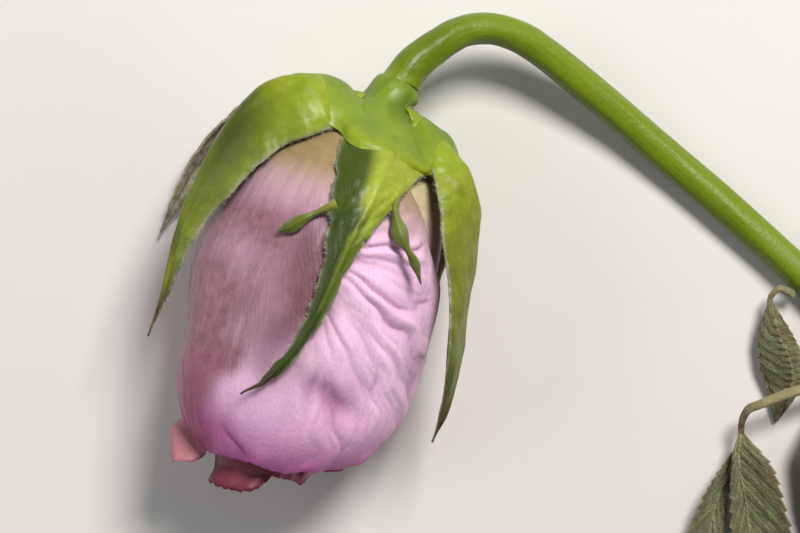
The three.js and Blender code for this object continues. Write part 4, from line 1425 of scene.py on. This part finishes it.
# %% Leaf lines
BLADES = {
    "leaflet_upper": {
        "margin_a": [[54.8, -4.9, 4.2], [56.1, -10.4, 6.2], [57.7, -14.5, 6.2], [58, -18.4, 4],
                     [56.3, -23, 1.2]],
        "middle": [[54.7, -5, 3.7], [53.1, -10.2, 2.8], [53.2, -14.2, 2.2], [54.6, -18.4, 1.4],
                   [56.1, -23.2, 0.8]],
        "margin_b": [[55.1, -4.9, 3.2], [58.8, -10.5, 1.5], [60.3, -14, 1], [60.2, -17.7, 0.8],
                     [56.6, -23, 0.6]],
    },
    "leaflet_end": {
        "margin_a": [[50.1, -24.7, 4.2], [49.1, -29.4, 5.9], [49, -36, 4.2], [49.6, -44, 2.6],
                     [51.5, -51.3, 1.4], [54.4, -57.4, 0.6]],
        "middle": [[50.5, -24.6, 3.8], [50.1, -28.6, 3.6], [51.4, -34.8, 2.4], [52.2, -41, 1.4],
                   [53, -48.8, 0.9], [54.6, -57.6, 0.5]],
        "margin_b": [[50.9, -24.7, 4.2], [54.6, -29.4, 6.9], [56.6, -35.6, 6.4], [58.7, -43.6, 4.2],
                     [57.8, -51.5, 2], [54.8, -57.4, 0.7]],
    },
    "leaflet_side": {
        "margin_a": [[49.3, -27.8, 2.3], [46.6, -31.2, 4.2], [44.2, -35.6, 4.3], [42.4, -42.6, 2.6],
                     [43, -49.8, 1.2], [46.5, -53.8, 0.5]],
        "middle": [[49.5, -27.8, 2], [48.1, -31.8, 1.7], [46.8, -36.4, 1.2], [45.9, -42, 0.8],
                   [45.8, -48, 0.6], [46.7, -54, 0.4]],
        "margin_b": [[49.6, -28.1, 1.8], [49.2, -32.8, 1.4], [48.6, -38.4, 1.2], [48.3, -44, 0.9],
                     [48.2, -49.9, 0.7], [46.9, -53.8, 0.5]],
    },
    "leaflet_under": {
        "margin_a": [[62.4, -19.6, 4.2], [59.4, -25.4, 5.8], [59.4, -31.6, 5.2], [60.3, -39.2, 3.6],
                     [61.1, -46.4, 2], [63.9, -53, 0.6]],
        "middle": [[62.6, -19.6, 3.8], [62.2, -25.2, 3], [62.2, -31.3, 2.1], [62.7, -38.6, 1.2],
                   [63, -45.8, 0.8], [64.1, -53.2, 0.4]],
        "margin_b": [[62.9, -19.6, 3.8], [65.4, -24.9, 2], [66.5, -31, 1.2], [66.8, -38.4, 0.8],
                     [66.4, -45.4, 0.6], [64.3, -52.9, 0.5]],
    },
    "leaflet_last": {
        "margin_a": [[67.6, -18.4, 3.1], [68.6, -24.6, 4.6], [69.5, -31, 4.6], [70, -38.4, 3.2],
                     [72.3, -46.1, 0.9]],
        "middle": [[67.8, -18.4, 2.8], [71.2, -24, 2.2], [73.4, -30.8, 1.4], [74, -38.1, 0.9],
                   [72.6, -46.4, 0.5]],
        "margin_b": [[68.1, -18.3, 3], [74.2, -23.6, 3.2], [77, -29.7, 2.8], [76.9, -37.9, 2],
                     [72.9, -46.3, 0.8]],
    },
}
print("leaf blades:", len(BLADES))

# %% Leaf builder
LEAF_GRID = (150, 61)
VEIN_PAIRS = 9
TEETH = 17
TOOTH_DEPTH = 0.55


def toothed(rows):
    m, n, _ = rows.shape
    t = np.linspace(0, 1, m)
    saw = (t * TEETH) % 1.0
    bite = TOOTH_DEPTH * (saw - 0.5) * fade(t, 0.03, 0.15) * (1 - fade(t, 0.9, 1))
    u = np.linspace(-1, 1, n)
    side = unit(rows[:, -1] - rows[:, 0])
    push = np.sign(u)[None, :] * np.abs(u)[None, :] ** 6 * bite[:, None]
    return rows + side[:, None, :] * push[..., None]


def build_leaf(name, lines, seed):
    t, u = spread(*LEAF_GRID)
    rows = toothed(loft(lines.values(), LEAF_GRID, 0.55))
    order = (t * 1.08 - 0.22 * np.abs(u)) * VEIN_PAIRS
    away = np.abs((order + 0.5) % 1.0 - 0.5)
    vein = hump(away, 0, 0.09) * fade(1 - np.abs(u), 0.02, 0.3) * fade(t, 0.02, 0.1)
    midrib = hump(u, 0, 0.045) * (1 - 0.6 * t)
    puff = np.sin(np.pi * np.clip(away * 2, 0, 1)) * 0.16
    wrinkle = 0.3 * cloud(t * 7, u * 2.2, seed) + 0.12 * billow(t * 18, u * 5, seed + 1)
    relief = 0.2 * vein + 0.42 * midrib + (puff + wrinkle) * np.minimum(1, margin_of(rows))
    rows = rows + outward(rows) * relief[..., None]
    margin = margin_of(rows)
    veins = np.maximum(np.maximum(0.75 * vein, midrib), 0.6 * np.exp(-margin / 0.18))
    dry = 0.35 + 0.6 * fade(t, 0.6, 1) + 0.3 * fade(np.abs(u), 0.6, 1)
    masks = {"vein": veins, "dry": np.minimum(dry, 1)}
    piece = sheet(name + "_skin", rows, thin_margin(LEAF_THICKNESS, margin, 0.7), masks)
    settle(piece, LEAF_SKIN, name)


for order, (name, lines) in enumerate(BLADES.items()):
    build_leaf(name, lines, 500 + 11 * order)
print("leaves built:", len(BLADES))

# %% Leaf stalks
STALKS = {
    "stalk_upper": {
        "path": [[58.4, -4.2, 2.9], [57.2, -3.6, 3.6], [56.1, -3.3, 4.2], [55, -4.4, 4],
                 [54.8, -5.6, 3.8]],
        "radius": [[0, 0.6], [0.5, 0.48], [1, 0.36]],
    },
    "stalk_lower": {
        "path": [[71.9, -17, 2.5], [66.5, -16.6, 4.6], [58.8, -18.2, 6.4], [54, -19.9, 6.8],
                 [51.4, -21, 6.4], [50.6, -22.6, 5.2], [50.5, -24.6, 4.1]],
        "radius": [[0, 1.0], [0.2, 0.8], [0.6, 0.68], [0.85, 0.5], [1, 0.42]],
    },
}
STALK_RINGS = 90
STALK_SIDES = 20


def build_stalk(name, stalk, seed):
    t = np.linspace(0, 1, STALK_RINGS)
    angle = turns(STALK_SIDES)[None, :]
    relief = 0.07 * np.cos(angle * 3) + 0.06 * cloud(t[:, None] * 22, angle, seed)
    masks = {"vein": 0.4, "dry": 0.2 + 0.8 * fade(t[:, None], 0.45, 0.9)}
    centre = guide(stalk["path"], t)
    piece = tube(name + "_skin", centre, through(stalk["radius"], t), masks, relief)
    settle(piece, STALK_SKIN, name)


for order, (name, stalk) in enumerate(STALKS.items()):
    build_stalk(name, stalk, 600 + order)
print("stalks built:", len(STALKS))

# %% [markdown]
# Table and light
#
# The rose is shown on a plain pale table. A soft key lamp stands above and to the upper
# right, as in the photograph, a broader and weaker one fills the shadows from the left,
# and the room adds an even pale light.

# %% Floor
FLOOR_SIZE = 3.0
TABLE_SHADE = paint(206, 203, 198)
TABLE_PALE = paint(214, 211, 206)


def build_floor():
    half = FLOOR_SIZE / 2
    corners = [(-half, -half, 0), (half, -half, 0), (half, half, 0), (-half, half, 0)]
    mesh = bpy.data.meshes.new("table_top")
    mesh.from_pydata(corners, [], [(0, 1, 2, 3)])
    floor = bpy.data.objects.new("table_top", mesh)
    bpy.context.scene.collection.objects.link(floor)
    material, board, shader = new_material("table_paint")
    shade = board.group(MOTTLE, Size=60.0, Shift=2.0, Contrast=0.1)
    board.feed(shader.inputs["Base Color"], board.blend(shade, TABLE_SHADE, TABLE_PALE))
    set_constants(shader, {"Roughness": 0.7})
    mesh.materials.append(material)


build_floor()
print("table, in metres:", FLOOR_SIZE)

# %% Lights


def add_lamp(name, place, size, power, colour):
    lamp = bpy.data.objects.new(name, bpy.data.lights.new(name, "AREA"))
    lamp.data.shape = "DISK"
    lamp.data.size = size
    lamp.data.energy = power
    lamp.data.color = colour
    lamp.location = place
    lamp.rotation_euler = (-lamp.location).to_track_quat("-Z", "Y").to_euler()
    bpy.context.scene.collection.objects.link(lamp)


WARM_WHITE = (1.0, 0.98, 0.95)
COOL_WHITE = (0.94, 0.97, 1.0)
ROOM_LIGHT = {"Color": (0.9, 0.92, 0.95, 1), "Strength": 0.18}
add_lamp("key_lamp", (0.15, 0.3, 0.48), 0.2, 4.2, WARM_WHITE)
add_lamp("fill_lamp", (-0.45, 0.05, 0.3), 0.4, 0.9, COOL_WHITE)
room = bpy.data.worlds.new("room")
room.use_nodes = True
set_constants(room.node_tree.nodes["Background"], ROOM_LIGHT)
bpy.context.scene.world = room
bpy.context.scene.view_settings.view_transform = "Standard"
print("lamps placed")
